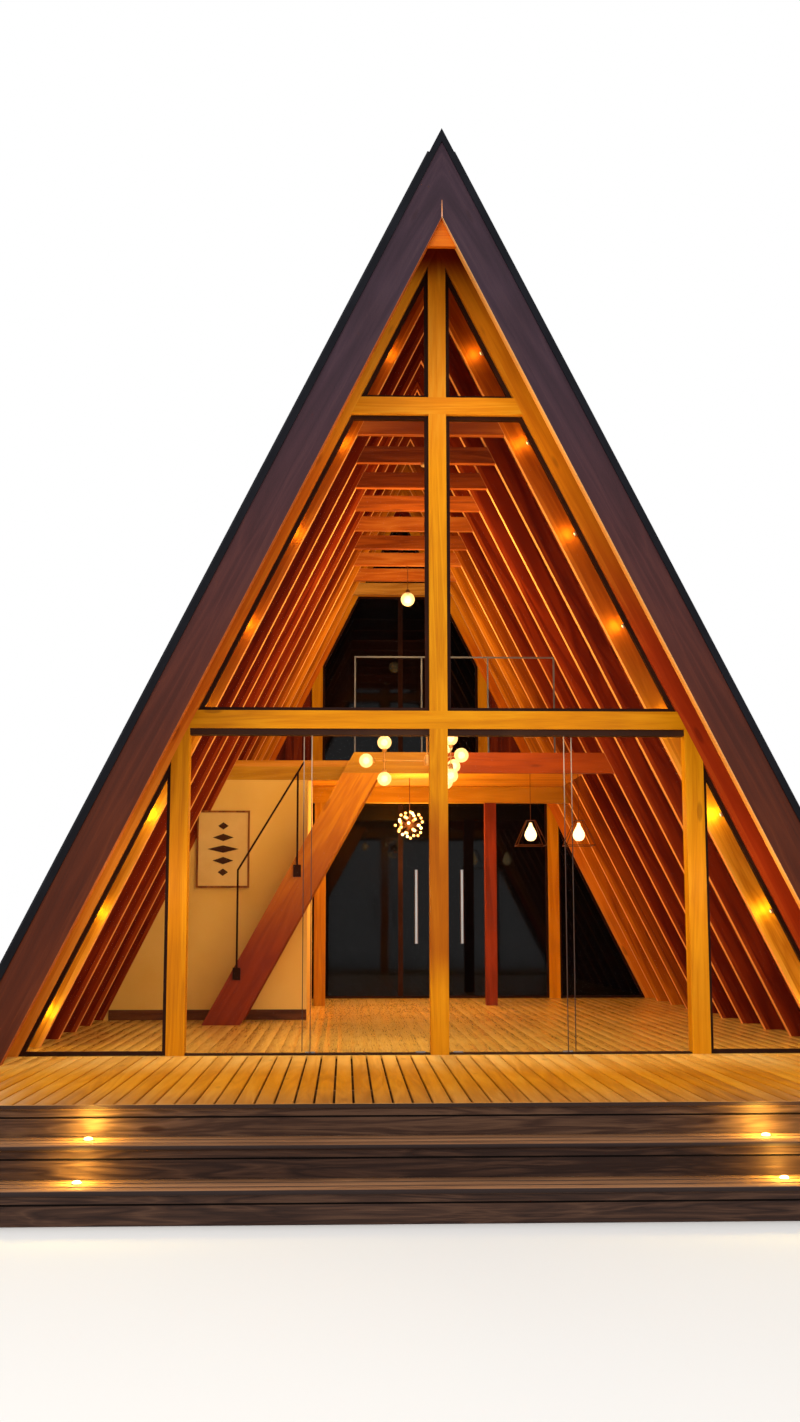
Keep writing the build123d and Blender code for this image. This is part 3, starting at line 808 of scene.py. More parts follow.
class Shell:
    """Collects the faces of one piece before they become a mesh."""

    def __init__(self) -> None:
        """Starts an empty piece."""
        self.mesh = bmesh.new()

    def hull(self, points: list[Vector], rings: list[list[int]], slot: int = 0,
             smooth: bool = False) -> None:
        """Adds faces over points.

        Args:
            points: the corners.
            rings: corner numbers of each face.
            slot: material number.
            smooth: shades the faces smooth.
        """
        corners = [self.mesh.verts.new(point) for point in points]
        for ring in rings:
            face = self.mesh.faces.new([corners[index] for index in ring])
            face.material_index = slot
            face.smooth = smooth

    def box(self, low: Vector | Point, high: Vector | Point, slot: int = 0, chamfer: float = 0.0) -> None:
        """Adds a squared block with eased edges.

        Args:
            low: lowest corner.
            high: highest corner.
            slot: material number.
            chamfer: width of the eased edges.
        """
        made = bmesh.ops.create_cube(self.mesh, size=1.0)
        centre = (Vector(low) + Vector(high)) / 2
        size = Vector(high) - Vector(low)
        for corner in made["verts"]:
            corner.co = Vector(part * scale for part, scale in zip(corner.co, size)) + centre
        for face in {face for corner in made["verts"] for face in corner.link_faces}:
            face.material_index = slot
        if chamfer > 0:
            edges = {edge for corner in made["verts"] for edge in corner.link_edges}
            bmesh.ops.bevel(self.mesh, geom=list(edges), offset=chamfer, segments=2, profile=0.5,
                            affect="EDGES", clamp_overlap=True, material=slot)

    def prism(self, outline: list[Vector], depth: Vector, slot: int = 0) -> None:
        """Adds a flat outline drawn out to a solid.

        Args:
            outline: corners in order.
            depth: how far it is drawn out.
            slot: material number.
        """
        count = len(outline)
        points = outline + [corner + depth for corner in outline]
        rings = [list(range(count)), list(range(2 * count - 1, count - 1, -1))]
        for index in range(count):
            after = (index + 1) % count
            rings.append([index, after, after + count, index + count])
        self.hull(points, rings, slot)

    def lathe(self, profile: list[tuple[float, float]], centre: Vector, axis: Vector, sides: int = 20,
              slot: int = 0) -> None:
        """Adds a turned form round an axis.

        Args:
            profile: radius and distance along the axis, from one end to the other.
            centre: where the axis starts.
            axis: direction of the axis.
            sides: how many faces round it.
            slot: material number.
        """
        turn = axis.normalized().to_track_quat("Z", "Y").to_matrix()
        points: list[Vector] = []
        rows: list[list[int]] = []
        for radius, along in profile:
            row = []
            for index in range(1 if radius <= 0 else sides):
                angle = 2 * math.pi * index / sides
                local = Vector((radius * math.cos(angle), radius * math.sin(angle), along))
                row.append(len(points))
                points.append(centre + turn @ local)
            rows.append(row)
        rings: list[list[int]] = []
        for low, high in zip(rows, rows[1:]):
            for index in range(sides):
                after = (index + 1) % sides
                corners = [low[index % len(low)], low[after % len(low)],
                           high[after % len(high)], high[index % len(high)]]
                rings.append(list(dict.fromkeys(corners)))
        if len(rows[0]) > 1:
            rings.append(list(reversed(rows[0])))
        if len(rows[-1]) > 1:
            rings.append(list(rows[-1]))
        self.hull(points, rings, slot, True)

    def tube(self, start: Vector, end: Vector, radius: float, sides: int = 12) -> None:
        """Adds a round bar with closed, slightly eased ends.

        Args:
            start: first end.
            end: other end.
            radius: radius of the bar.
            sides: how many faces round it.
        """
        length = (end - start).length
        ease = min(radius * 0.25, length * 0.1)
        self.lathe([(radius - ease, 0.0), (radius, ease), (radius, length - ease), (radius - ease, length)],
                   start, end - start, sides)

    def ball(self, centre: Vector, radius: float, rows: int = 10, sides: int = 16, slot: int = 0) -> None:
        """Adds a ball.

        Args:
            centre: its middle.
            radius: its radius.
            rows: faces from pole to pole.
            sides: faces round it.
            slot: material number.
        """
        profile = []
        for index in range(rows + 1):
            angle = math.pi * index / rows
            rim = 0.0 if index in (0, rows) else radius * math.sin(angle)
            profile.append((rim, -radius * math.cos(angle)))
        self.lathe(profile, centre, Z_AXIS, sides, slot)

    def build(self, name: str, *materials: bpy.types.Material) -> bpy.types.Object:
        """Turns the collected faces into an object.

        Args:
            name: name of the piece.
            materials: its materials in slot order.

        Returns:
            The new object.
        """
        bmesh.ops.recalc_face_normals(self.mesh, faces=self.mesh.faces[:])
        data = bpy.data.meshes.new(name)
        self.mesh.to_mesh(data)
        self.mesh.free()
        for material in materials:
            data.materials.append(material)
        return placed(name, data)


class RowTree(NodeTree):
    """A Geometry Nodes tree that lays one row of like boards, ribs or strips."""

    INPUTS = (("Count", "NodeSocketInt"), ("Pitch", "NodeSocketFloat"), ("Width", "NodeSocketFloat"),
              ("Thickness", "NodeSocketFloat"), ("Length", "NodeSocketFloat"),
              ("Ease", "NodeSocketFloat"), ("Unevenness", "NodeSocketFloat"), ("Seed", "NodeSocketInt"))

    def __init__(self, material: bpy.types.Material) -> None:
        """Builds the tree.

        Args:
            material: the finish of every board.
        """
        super().__init__(bpy.data.node_groups.new("row of boards", "GeometryNodeTree"))
        self.tree.is_modifier = True
        face = self.tree.interface
        self.sockets = {name: face.new_socket(name=name, in_out="INPUT", socket_type=kind)
                        for name, kind in self.INPUTS}
        face.new_socket(name="Geometry", in_out="OUTPUT", socket_type="NodeSocketGeometry")
        give = self.tree.nodes.new("NodeGroupInput").outputs
        laid = self.tagged(self.row(give), self.tone(give))
        real = self.add("GeometryNodeRealizeInstances", {"Geometry": laid})
        painted = self.add("GeometryNodeSetMaterial", {"Geometry": real.outputs[0], "Material": material})
        self.feed(self.tree.nodes.new("NodeGroupOutput").inputs[0], painted.outputs[0])

    def row(self, give: bpy.types.NodeOutputs) -> Socket:
        """One board with eased edges, repeated along x.

        Args:
            give: the tree's named inputs.

        Returns:
            The boards as instances.
        """
        line = self.add("GeometryNodeMeshLine", {"Count": give["Count"],
                                                 "Offset": self.join(give["Pitch"], 0.0, 0.0)})
        outline = self.add("GeometryNodeCurvePrimitiveQuadrilateral",
                           {"Width": give["Width"], "Height": give["Thickness"]})
        eased = self.add("GeometryNodeFilletCurve", {"Curve": outline.outputs[0], "Radius": give["Ease"],
                                                     "Limit Radius": True, "Count": 1}, mode="POLY")
        path = self.add("GeometryNodeCurvePrimitiveLine", {"End": self.join(0.0, give["Length"], 0.0)})
        board = self.add("GeometryNodeCurveToMesh", {"Curve": path.outputs[0],
                                                     "Profile Curve": eased.outputs[0], "Fill Caps": True})
        return self.add("GeometryNodeInstanceOnPoints", {"Points": line.outputs[0],
                                                         "Instance": board.outputs[0]}).outputs[0]

    def tone(self, give: bpy.types.NodeOutputs) -> tuple[Socket, Socket]:
        """A random value for each board.

        Args:
            give: the tree's named inputs.

        Returns:
            The value, and how far it lets the board down.
        """
        chance = self.add("FunctionNodeRandomValue", {"Seed": give["Seed"]}, data_type="FLOAT")
        value = next(item for item in chance.outputs if item.enabled and item.type == "VALUE")
        return value, self.times(self.times(value, give["Unevenness"]), -1.0)

    def tagged(self, boards: Socket, tone: tuple[Socket, Socket]) -> Socket:
        """Stores each board's tone and lets the board down by its unevenness.

        Args:
            boards: the boards as instances.
            tone: the stored value and the drop.

        Returns:
            The settled boards.
        """
        value, drop = tone
        named = self.add("GeometryNodeStoreNamedAttribute", {"Geometry": boards, "Name": TONE},
                         data_type="FLOAT", domain="INSTANCE")
        self.feed(next(item for item in named.inputs if item.name == "Value" and item.enabled), value)
        down = self.join(0.0, 0.0, drop)
        return self.add("GeometryNodeTranslateInstances", {"Instances": named.outputs[0],
                                                           "Translation": down}).outputs[0]


@dataclass
class Boarding:
    """A field of like boards laid side by side.

    The corner is the one of the first board's top face.
    """

    name: str
    count: int
    pitch: float
    width: float
    thickness: float
    length: float
    corner: Vector
    across: Vector
    run: Vector
    seed: int
    ease: float = 0.003
    unevenness: float = 0.0006

    def lay(self, material: bpy.types.Material) -> bpy.types.Object:
        """Lays the boards as one plain mesh.

        Args:
            material: the finish, which reads the boards' tone.

        Returns:
            The field, placed in its mesh.
        """
        tree = RowTree(material)
        holder = placed(self.name + "_rule", bpy.data.meshes.new(self.name + "_rule"))
        rule = holder.modifiers.new("rows", "NODES")
        rule.node_group = tree.tree
        for name, socket in tree.sockets.items():
            rule[socket.identifier] = getattr(self, name.lower())
        bpy.context.view_layer.update()
        graph = bpy.context.evaluated_depsgraph_get()
        data = bpy.data.meshes.new_from_object(holder.evaluated_get(graph), depsgraph=graph)
        data.name = self.name
        holder.modifiers.remove(rule)
        bpy.data.objects.remove(holder)
        data.transform(self.placement())
        return placed(self.name, data)

    def placement(self) -> Matrix:
        """The matrix from the row's own space to the frame.

        Returns:
            The matrix.
        """
        x_axis = self.across.normalized()
        y_axis = self.run.normalized()
        z_axis = x_axis.cross(y_axis)
        turn = Matrix((x_axis, y_axis, z_axis)).transposed().to_4x4()
        start = self.corner + x_axis * self.width / 2 - z_axis * self.thickness / 2
        return Matrix.Translation(start) @ turn


def joined(pieces: list[bpy.types.Object], name: str) -> bpy.types.Object:
    """Joins pieces to one mesh.

    Args:
        pieces: the pieces, all at the origin.
        name: name of the result.

    Returns:
        The joined piece.
    """
    merged = bmesh.new()
    for piece in pieces:
        merged.from_mesh(piece.data)
    data = bpy.data.meshes.new(name)
    merged.to_mesh(data)
    merged.free()
    for material in pieces[0].data.materials:
        data.materials.append(material)
    for piece in pieces:
        bpy.data.objects.remove(piece)
    return placed(name, data)


@dataclass
class Platform:
    """Decks, floor, steps, skirts and what carries them."""

    board_pitch: float = 0.1031
    board_gap: float = 0.0125
    floor_gap: float = 0.0002
    floor_ease: float = 0.0004
    floor_unevenness: float = 0.0001
    skirt_boards: int = 4
    skirt_gap: float = 0.007
    skirt_thickness: float = 0.025
    tread_boards: int = 3
    tread_lap: float = 0.007
    riser_thickness: float = 0.025
    nosing: float = 0.014
    nosing_gap: float = 0.001
    gap_shade_back: float = 0.01
    gap_shade_thickness: float = 0.013

    def build(self) -> None:
        """Lays the boards and dresses the structure."""
        # Painted lamp light on the deck near the front glass; painted shade on the front of the deck and on
        # the rear deck.
        deck = Timber("deck timber", Grain.ALONG_Y, Wood.DECK, contrast=0.5, toned=True, variety=0.3,
                      knots=0.3,
                      zones=(Zone(Wood.DECK_LAMPLIT, behind_front(-1.5, -0.1)),
                             Zone(Wood.DECK_SHADED, behind_front(-1.9, -2.8)),
                             Zone(Wood.DECK_SHADED, behind_front(7.6, 9.0)))).build()
        for node, seed, cut in (("front_deck", 11, self.nosing), ("rear_deck", 12, 0.0)):
            boards = self.field(node, self.board_gap, seed)
            boards.corner.y += cut
            boards.length -= cut
            ride(boards.lay(deck), "deck_timber", node)
        self.edge()
        # Painted shade on the floor at its very sides, where it meets the slopes.
        floor = Timber("floor timber", Grain.ALONG_Y, Wood.FLOOR, 0.18, 0.55, contrast=0.3, toned=True,
                       variety=0.15, relief=0.00004, knots=0.08,
                       zones=(Zone(Wood.DECK_SHADED, across_middle(-3.18, -3.22)),
                              Zone(Wood.DECK_SHADED, across_middle(3.18, 3.22)))).build()
        planks = self.field("house_floor", self.floor_gap, 13)
        planks.ease = self.floor_ease
        planks.unevenness = self.floor_unevenness
        ride(planks.lay(floor), "floor_timber", "house_floor")
        self.treads()
        self.skirts()
        dress(Timber("riser timber", Grain.ALONG_X, Wood.RISER, 0.66, figure=2.2, contrast=1.1, knots=0.8,
                     relief=0.002, board=0.045), "step_risers", "step_blocks")
        self.gap_shades()
        dress(Timber("bearer timber", Grain.ALONG_Y, Wood.SAWN, 0.75, relief=0.002), "floor_bearers")
        dress(Timber("joist timber", Grain.ALONG_X, Wood.SAWN, 0.75, relief=0.002), "floor_joists")
        dress(Mineral("pier concrete", (150, 148, 142), (112, 110, 104)), "foundation_piers")

    def edge(self) -> None:
        """A slim board that closes the ends of the front deck's boards."""
        low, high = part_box("front_deck")
        timber = Timber("nosing timber", Grain.ALONG_X, Wood.NOSING, contrast=0.6, front_darkening=(44, 28, 22))
        board = Shell()
        board.box(low, (high.x, low.y + self.nosing - self.nosing_gap, high.z), chamfer=0.002)
        ride(board.build("front_deck_nosing", timber.build()), "deck_timber")

    def gap_shades(self) -> None:
        """Dark strips set back in the gaps between the boards of the risers: painted shade in the gaps."""
        low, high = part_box("step_risers")
        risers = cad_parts["step_risers"]
        corners = [risers.matrix_world @ vertex.co for vertex in risers.data.vertices]
        levels = sorted({round(corner.z, 4) for corner in corners})
        strips = Shell()
        # Each riser has four levels: its foot, the foot and the head of its gap, and its top.
        for under, over in zip(levels[1::4], levels[2::4]):
            front = min(corner.y for corner in corners if abs(corner.z - under) < 0.0001)
            face = front + self.gap_shade_back
            strips.box((low.x, face, under), (high.x, face + self.gap_shade_thickness, over), chamfer=0.0005)
        # The strips are nearly black: painted shade in the riser gaps.
        dark = Timber("gap shade timber", Grain.ALONG_X, Wood.GAP_SHADE, 0.9).build()
        ride(strips.build("riser_gap_shades", dark), "step_timber")

    def field(self, node: str, gap: float, seed: int) -> Boarding:
        """Boards that fill a deck or floor node, running into the house.

        Args:
            node: the CAD slab.
            gap: space between two boards.
            seed: seed of the boards' tones.

        Returns:
            The field.
        """
        low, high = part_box(node)
        count = round((high.x - low.x + gap) / self.board_pitch)
        pitch = (high.x - low.x + gap) / count
        return Boarding(node + "_boards", count, pitch, pitch - gap, high.z - low.z, high.y - low.y,
                        Vector((low.x, low.y, high.z)), X_AXIS, Y_AXIS, seed)

    def treads(self) -> None:
        """Lays the boards of the two treads."""
        tread = Timber("tread timber", Grain.ALONG_X, Wood.TREAD, 0.58, contrast=0.7, toned=True,
                       variety=0.25, relief=0.0016, front_darkening=(40, 28, 26)).build()
        low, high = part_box("front_steps")
        deck_low, deck_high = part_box("front_deck")
        thickness = deck_high.z - deck_low.z
        depth = (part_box("step_risers")[1].y - low.y - self.riser_thickness) / 2 + self.tread_lap
        pitch = (depth + self.board_gap) / self.tread_boards
        pieces = []
        for front, top, seed in ((low.y, low.z + thickness, 21), (high.y - depth, high.z, 22)):
            pieces.append(Boarding("tread_boards", self.tread_boards, pitch, pitch - self.board_gap,
                                   thickness, high.x - low.x, Vector((high.x, front, top)), Y_AXIS,
                                   -X_AXIS, seed).lay(tread))
        ride(joined(pieces, "tread_boards"), "step_timber", "front_steps")

    def skirts(self) -> None:
        """Closes the sides and the rear of the platform with level boards."""
        skirt = Timber("skirt timber", Grain.ALONG_Y, Wood.SKIRT, 0.7, toned=True, knots=0.6,
                       relief=0.002).build()
        low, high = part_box("platform_skirts")
        pitch = (high.z - low.z + self.skirt_gap) / self.skirt_boards
        thick = self.skirt_thickness
        runs = ((Vector((low.x, low.y, low.z)), Y_AXIS, high.y - low.y, 31),
                (Vector((high.x, high.y, low.z)), -Y_AXIS, high.y - low.y, 32),
                (Vector((low.x + thick, high.y, low.z)), X_AXIS, high.x - low.x - 2 * thick, 33))
        pieces = []
        for corner, run, length, seed in runs:
            pieces.append(Boarding("skirt_boards", self.skirt_boards, pitch, pitch - self.skirt_gap, thick,
                                   length, corner, Z_AXIS, run, seed).lay(skirt))
        ride(joined(pieces, "skirt_boards"), "step_timber", "platform_skirts")


@dataclass
class Roof:
    """Covering, lining boards, fascias, rafters and the ridge."""

    seam_pitch: float = 0.49
    seam_width: float = 0.012
    seam_height: float = 0.026
    seam_margin: float = 0.05
    ridge_clear: float = 0.17
    fascia_under: float = 0.295
    mitre_gap: float = 0.13
    mitre_lift: float = 0.003
    mitre_foot: float = 0.005
    mitre_head: float = 0.0012
    mitre_proud: float = 0.0004
    lining_board: float = 0.118
    lining_gap: float = 0.004
    lining_thickness: float = 0.014
    panel_top: float = 0.03
    rib_under: float = 0.292
    rib_width: float = 0.065
    edge_ease: float = 0.002
    rolled: Point = (3.0, 3.0, 3.0)

    def build(self) -> None:
        """Dresses the roof and adds its seams and lining."""
        sheet = dress(Metal("roof sheet", (20, 21, 27), (35, 36, 43), 0.5, 0.2, self.rolled, 0.002, 0.25),
                      "roof_covering_left", "roof_covering_right")
        dress(Metal("trim sheet", (12, 13, 19), (22, 23, 30), 0.55, 0.1, self.rolled, 0.001, 0.14),
              "ridge_cap", "verge_trims")
        self.seams(sheet)
        self.linings()
        # The fascia's purple cast is a painted sky reflection, its warmer foot is painted lamp light and its
        # inner edge a painted highlight.
        fascia = Timber("fascia timber", Grain.SLOPE, Wood.FASCIA, 0.6, figure=0.8, contrast=0.6, knots=0.4,
                        relief=0.0016, variety=0.1, zones=(Zone(Wood.FASCIA_FOOT, above_floor(5.4, 1.3)),),
                        edge_light=(250, 184, 110), edge_depth=self.fascia_under)
        dress(fascia, "front_fascia_right", "rear_fascia")
        dress(replace(fascia, name="left fascia timber", edge_light=(176, 92, 38)), "front_fascia_left")
        self.mitre_light()
        self.verge_ribs(fascia)
        # Rafters: painted lamp light on the front ones, strongest low down, and on the rear ones; their inner
        # edge is a painted highlight.
        dress(Timber("rafter timber", Grain.SLOPE, Wood.RAFTER, 0.6, 0.08, contrast=0.7, relief=0.0004,
                     zones=(Zone(Wood.RAFTER_FRONT, behind_front(0.9, 0.8)),
                            Zone(Wood.RAFTER_GLOW, behind_front(0.9, 0.8), above_floor(3.2, 1.9)),
                            Zone(Wood.RAFTER_REAR, behind_front(4.4, 6.4))),
                     edge_light=(246, 170, 92), edge_depth=SITE.rafter_under),
              "left_rafters", "right_rafters")
        # Painted lamp light on the rear collar tie.
        dress(Timber("collar timber", Grain.ALONG_X, Wood.COLLAR, 0.42, contrast=0.7,
                     zones=(Zone(Wood.COLLAR_REAR, behind_front(6.5, 6.6)),)), "collar_ties")
        dress(Timber("gusset timber", Grain.ALONG_X, Wood.GUSSET, 0.45, contrast=0.6), "ridge_gussets")

    def mitre_light(self) -> None:
        """The thin line of lamp light in the open foot of the fascias' mitre."""
        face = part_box("front_fascia_left")[0].y
        foot = SITE.peak(self.fascia_under)
        shine = Mineral("mitre light", (240, 150, 70), (206, 150, 130), 0.5, 9.0, 90.0, 0.0001).build()
        low, high = foot + self.mitre_lift, foot + self.mitre_gap
        gap = Shell()
        gap.prism([Vector((-self.mitre_foot, face, low)), Vector((self.mitre_foot, face, low)),
                   Vector((self.mitre_head, face, high)), Vector((-self.mitre_head, face, high))],
                  Vector((0, -self.mitre_proud, 0)))
        ride(gap.build("mitre_gap_light", shine), "fascia_timber")

    def sloping(self, side: int, low: float, y: float, depths: tuple[float, float]) -> list[Vector]:
        """Outline of a slab that follows a slope up to the middle.

        Args:
            side: -1 for the left slope and 1 for the right one.
            low: height of its foot.
            y: where the outline stands.
            depths: depths of its two faces inside the roof.

        Returns:
            The four corners.
        """
        first, second = depths
        return [Vector((side * SITE.slope_x(low, first), y, low)),
                Vector((side * SITE.slope_x(low, second), y, low)),
                Vector((0.0, y, SITE.peak(second))), Vector((0.0, y, SITE.peak(first)))]

    def verge_ribs(self, fascia: Timber) -> None:
        """A rib behind each front fascia, whose inner edge catches the lamp light.

        Args:
            fascia: the fascias' timber.
        """
        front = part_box("front_fascia_left")[1].y
        for (name, side), shine in zip(SIDES, ((190, 100, 24), (246, 166, 70))):
            timber = replace(fascia, name=name + " rib timber", edge_light=shine, edge_depth=self.rib_under)
            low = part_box("front_fascia_" + name)[0].z
            rib = Shell()
            rib.prism(self.sloping(side, low, front, (SITE.panel_under, self.rib_under)),
                      Vector((0, self.rib_width, 0)))
            ride(rib.build("verge_rib_" + name, timber.build()), "fascia_timber")

    def seams(self, sheet: bpy.types.Material) -> None:
        """Standing seams of the covering, down both slopes.

        Args:
            sheet: the covering's finish.
        """
        low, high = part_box("roof_covering_left")
        slope = (high.z - low.z) / SITE.cos - self.ridge_clear
        count = int((high.y - low.y) / self.seam_pitch)
        pitch = (high.y - low.y - 2 * self.seam_margin - self.seam_width) / (count - 1)
        pieces = []
        for _, side in SIDES:
            start_y = low.y + self.seam_margin if side < 0 else high.y - self.seam_margin
            foot = Vector((side * SITE.slope_x(low.z, 0.0), start_y, low.z))
            foot += SITE.out(side) * self.seam_height
            pieces.append(Boarding("roof_seams", count, pitch, self.seam_width, self.seam_height, slope,
                                   foot + SITE.up(side) * slope, Y_AXIS * -side, -SITE.up(side), 41,
                                   self.edge_ease, 0.0).lay(sheet))
        ride(joined(pieces, "roof_seams"), "roofing")

    def linings(self) -> None:
        """Boarded underside of the roof, over a plain core."""
        lining = Timber("lining timber", Grain.ALONG_Y, Wood.LINING, toned=True, variety=0.4).build()
        for name, side in SIDES:
            low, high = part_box("roof_panel_" + name)
            slope = (SITE.peak(SITE.panel_under) - low.z) / SITE.cos
            count = int(slope / self.lining_board)
            pitch = slope / count
            start_y = low.y if side > 0 else high.y
            corner = Vector((side * SITE.slope_x(low.z, SITE.panel_under), start_y, low.z))
            boards = Boarding("lining", count, pitch, pitch - self.lining_gap, self.lining_thickness,
                              high.y - low.y, corner, SITE.up(side), Y_AXIS * side, 51 + side,
                              self.edge_ease, 0.0).lay(lining)
            core = Shell()
            depths = (self.panel_top, SITE.panel_under - self.lining_thickness)
            core.prism(self.sloping(side, low.z, low.y, depths), Vector((0, high.y - low.y, 0)))
            slab = core.build("lining_core", lining)
            ride(joined([boards, slab], "roof_lining_" + name), "roof_timber", "roof_panel_" + name)


@dataclass
class Facades:
    """Posts, transoms, frames, glass and the doors of both gables."""

    strip_width: float = 0.006
    strip_proud: float = 0.0008
    strip_ease: float = 0.001
    door_lap: float = 0.06

    def build(self) -> None:
        """Dresses both gables."""
        self.timbers()
        dress(Metal("dark metal", (34, 15, 8), (58, 30, 18), 0.5, 0.0, gloss=0.1),
              "front_glazing_frames", "rear_glazing_frames", "stair_handrail", "rear_railing_rods")
        dress(Metal("track metal", (44, 24, 15), (66, 42, 28), 0.5, 0.0, gloss=0.12), "front_door_tracks")
        dress(Metal("guard metal", (96, 92, 90), (126, 120, 114), 0.4, 0.6), "loft_guard")
        dress(Glass("clear glass", (14, 16, 20), 0.988, 0.03, 0.2, 0.2), "front_upper_panes",
              "front_side_panes", "front_fixed_panes", "left_door_pane", "right_door_pane")
        dress(Glass("dark glass", (3, 3, 5), 0.012, 0.03, 0.6, 0.16), "rear_upper_panes", "rear_lower_panes")
        dress(Metal("brushed steel", (176, 172, 164), (214, 210, 202), 0.3, 1.0, (30.0, 30.0, 400.0)),
              "left_door_fittings", "right_door_fittings")
        self.strips()

    def timbers(self) -> None:
        """Dresses the posts, transoms, frames and infills, with painted lamp light and painted shade in
        zones.
        """
        # Painted lamp light high up, and painted shade at the tops under the gusset.
        bright = Zone(Wood.BRIGHT, above_floor(4.1, 4.8))
        crown_shade = Zone(Wood.CROWN_SHADE, below_apex(0.9, 0.66))
        post = Timber("post timber", Grain.ALONG_Z, Wood.GOLD, 0.42, 0.12, contrast=0.75, variety=0.12,
                      zones=(Zone(Wood.BROWN, above_floor(1.9, 1.5)), Zone(Wood.GOLD, above_floor(0.75, 0.4)),
                             Zone(Wood.GOLD, across_middle(-1.0, -1.1)),
                             Zone(Wood.GOLD, across_middle(1.0, 1.1)), bright, crown_shade))
        dress(post, "front_posts", "rear_posts")
        dress(replace(post, name="transom timber", grain=Grain.ALONG_X, zones=(bright,)),
              "front_transoms", "rear_transoms")
        # Painted lamp light low on the left frame; painted shade low on the right frame.
        side = Timber("left frame timber", Grain.SLOPE, Wood.ORANGE, 0.42, contrast=0.5, variety=0.12,
                      zones=(Zone(Wood.AMBER, above_floor(2.6, 1.4)), bright, crown_shade))
        dress(side, "front_frame_left", "rear_frame")
        dress(replace(side, name="right frame timber", tones=Wood.HONEY,
                      zones=(Zone(Wood.RUSSET, above_floor(4.4, 2.8)), crown_shade)), "front_frame_right")
        dress(Timber("infill timber", Grain.ALONG_Z, Wood.INFILL, board=0.1), "rear_infills")

    def strip(self, shell: Shell, x: float, pane: tuple[Vector, Vector]) -> None:
        """Adds one seal as high as a pane.

        Args:
            shell: where the faces go.
            x: its left edge.
            pane: the pane's box.
        """
        low, high = pane
        shell.box((x, low.y - self.strip_proud, low.z),
                  (x + self.strip_width, high.y + self.strip_proud, high.z), chamfer=self.strip_ease)

    def strips(self) -> None:
        """Clear seals on the meeting edges of the fixed panes and the doors, darker at the foot and lighter
        towards the top.
        """
        seal = Timber("edge seal", Grain.ALONG_Z, Wood.SEAL, 0.35, 0.5, contrast=0.3, knots=0.0,
                      relief=0.0001, zones=(Zone(Wood.SEAL_TOP, above_floor(1.5, 2.1)),)).build()
        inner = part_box("left_door_pane")[0].x + self.door_lap
        fixed = Shell()
        for x in (inner, -inner):
            self.strip(fixed, x - self.strip_width / 2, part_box("front_fixed_panes"))
        ride(fixed.build("fixed_pane_seals", seal), "steel")
        for name, side in SIDES:
            body = name + "_door"
            low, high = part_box(body + "_pane")
            door = Shell()
            self.strip(door, low.x if side < 0 else high.x - self.strip_width, (low, high))
            ride(door.build(body + "_seal", seal), "steel", body=body)


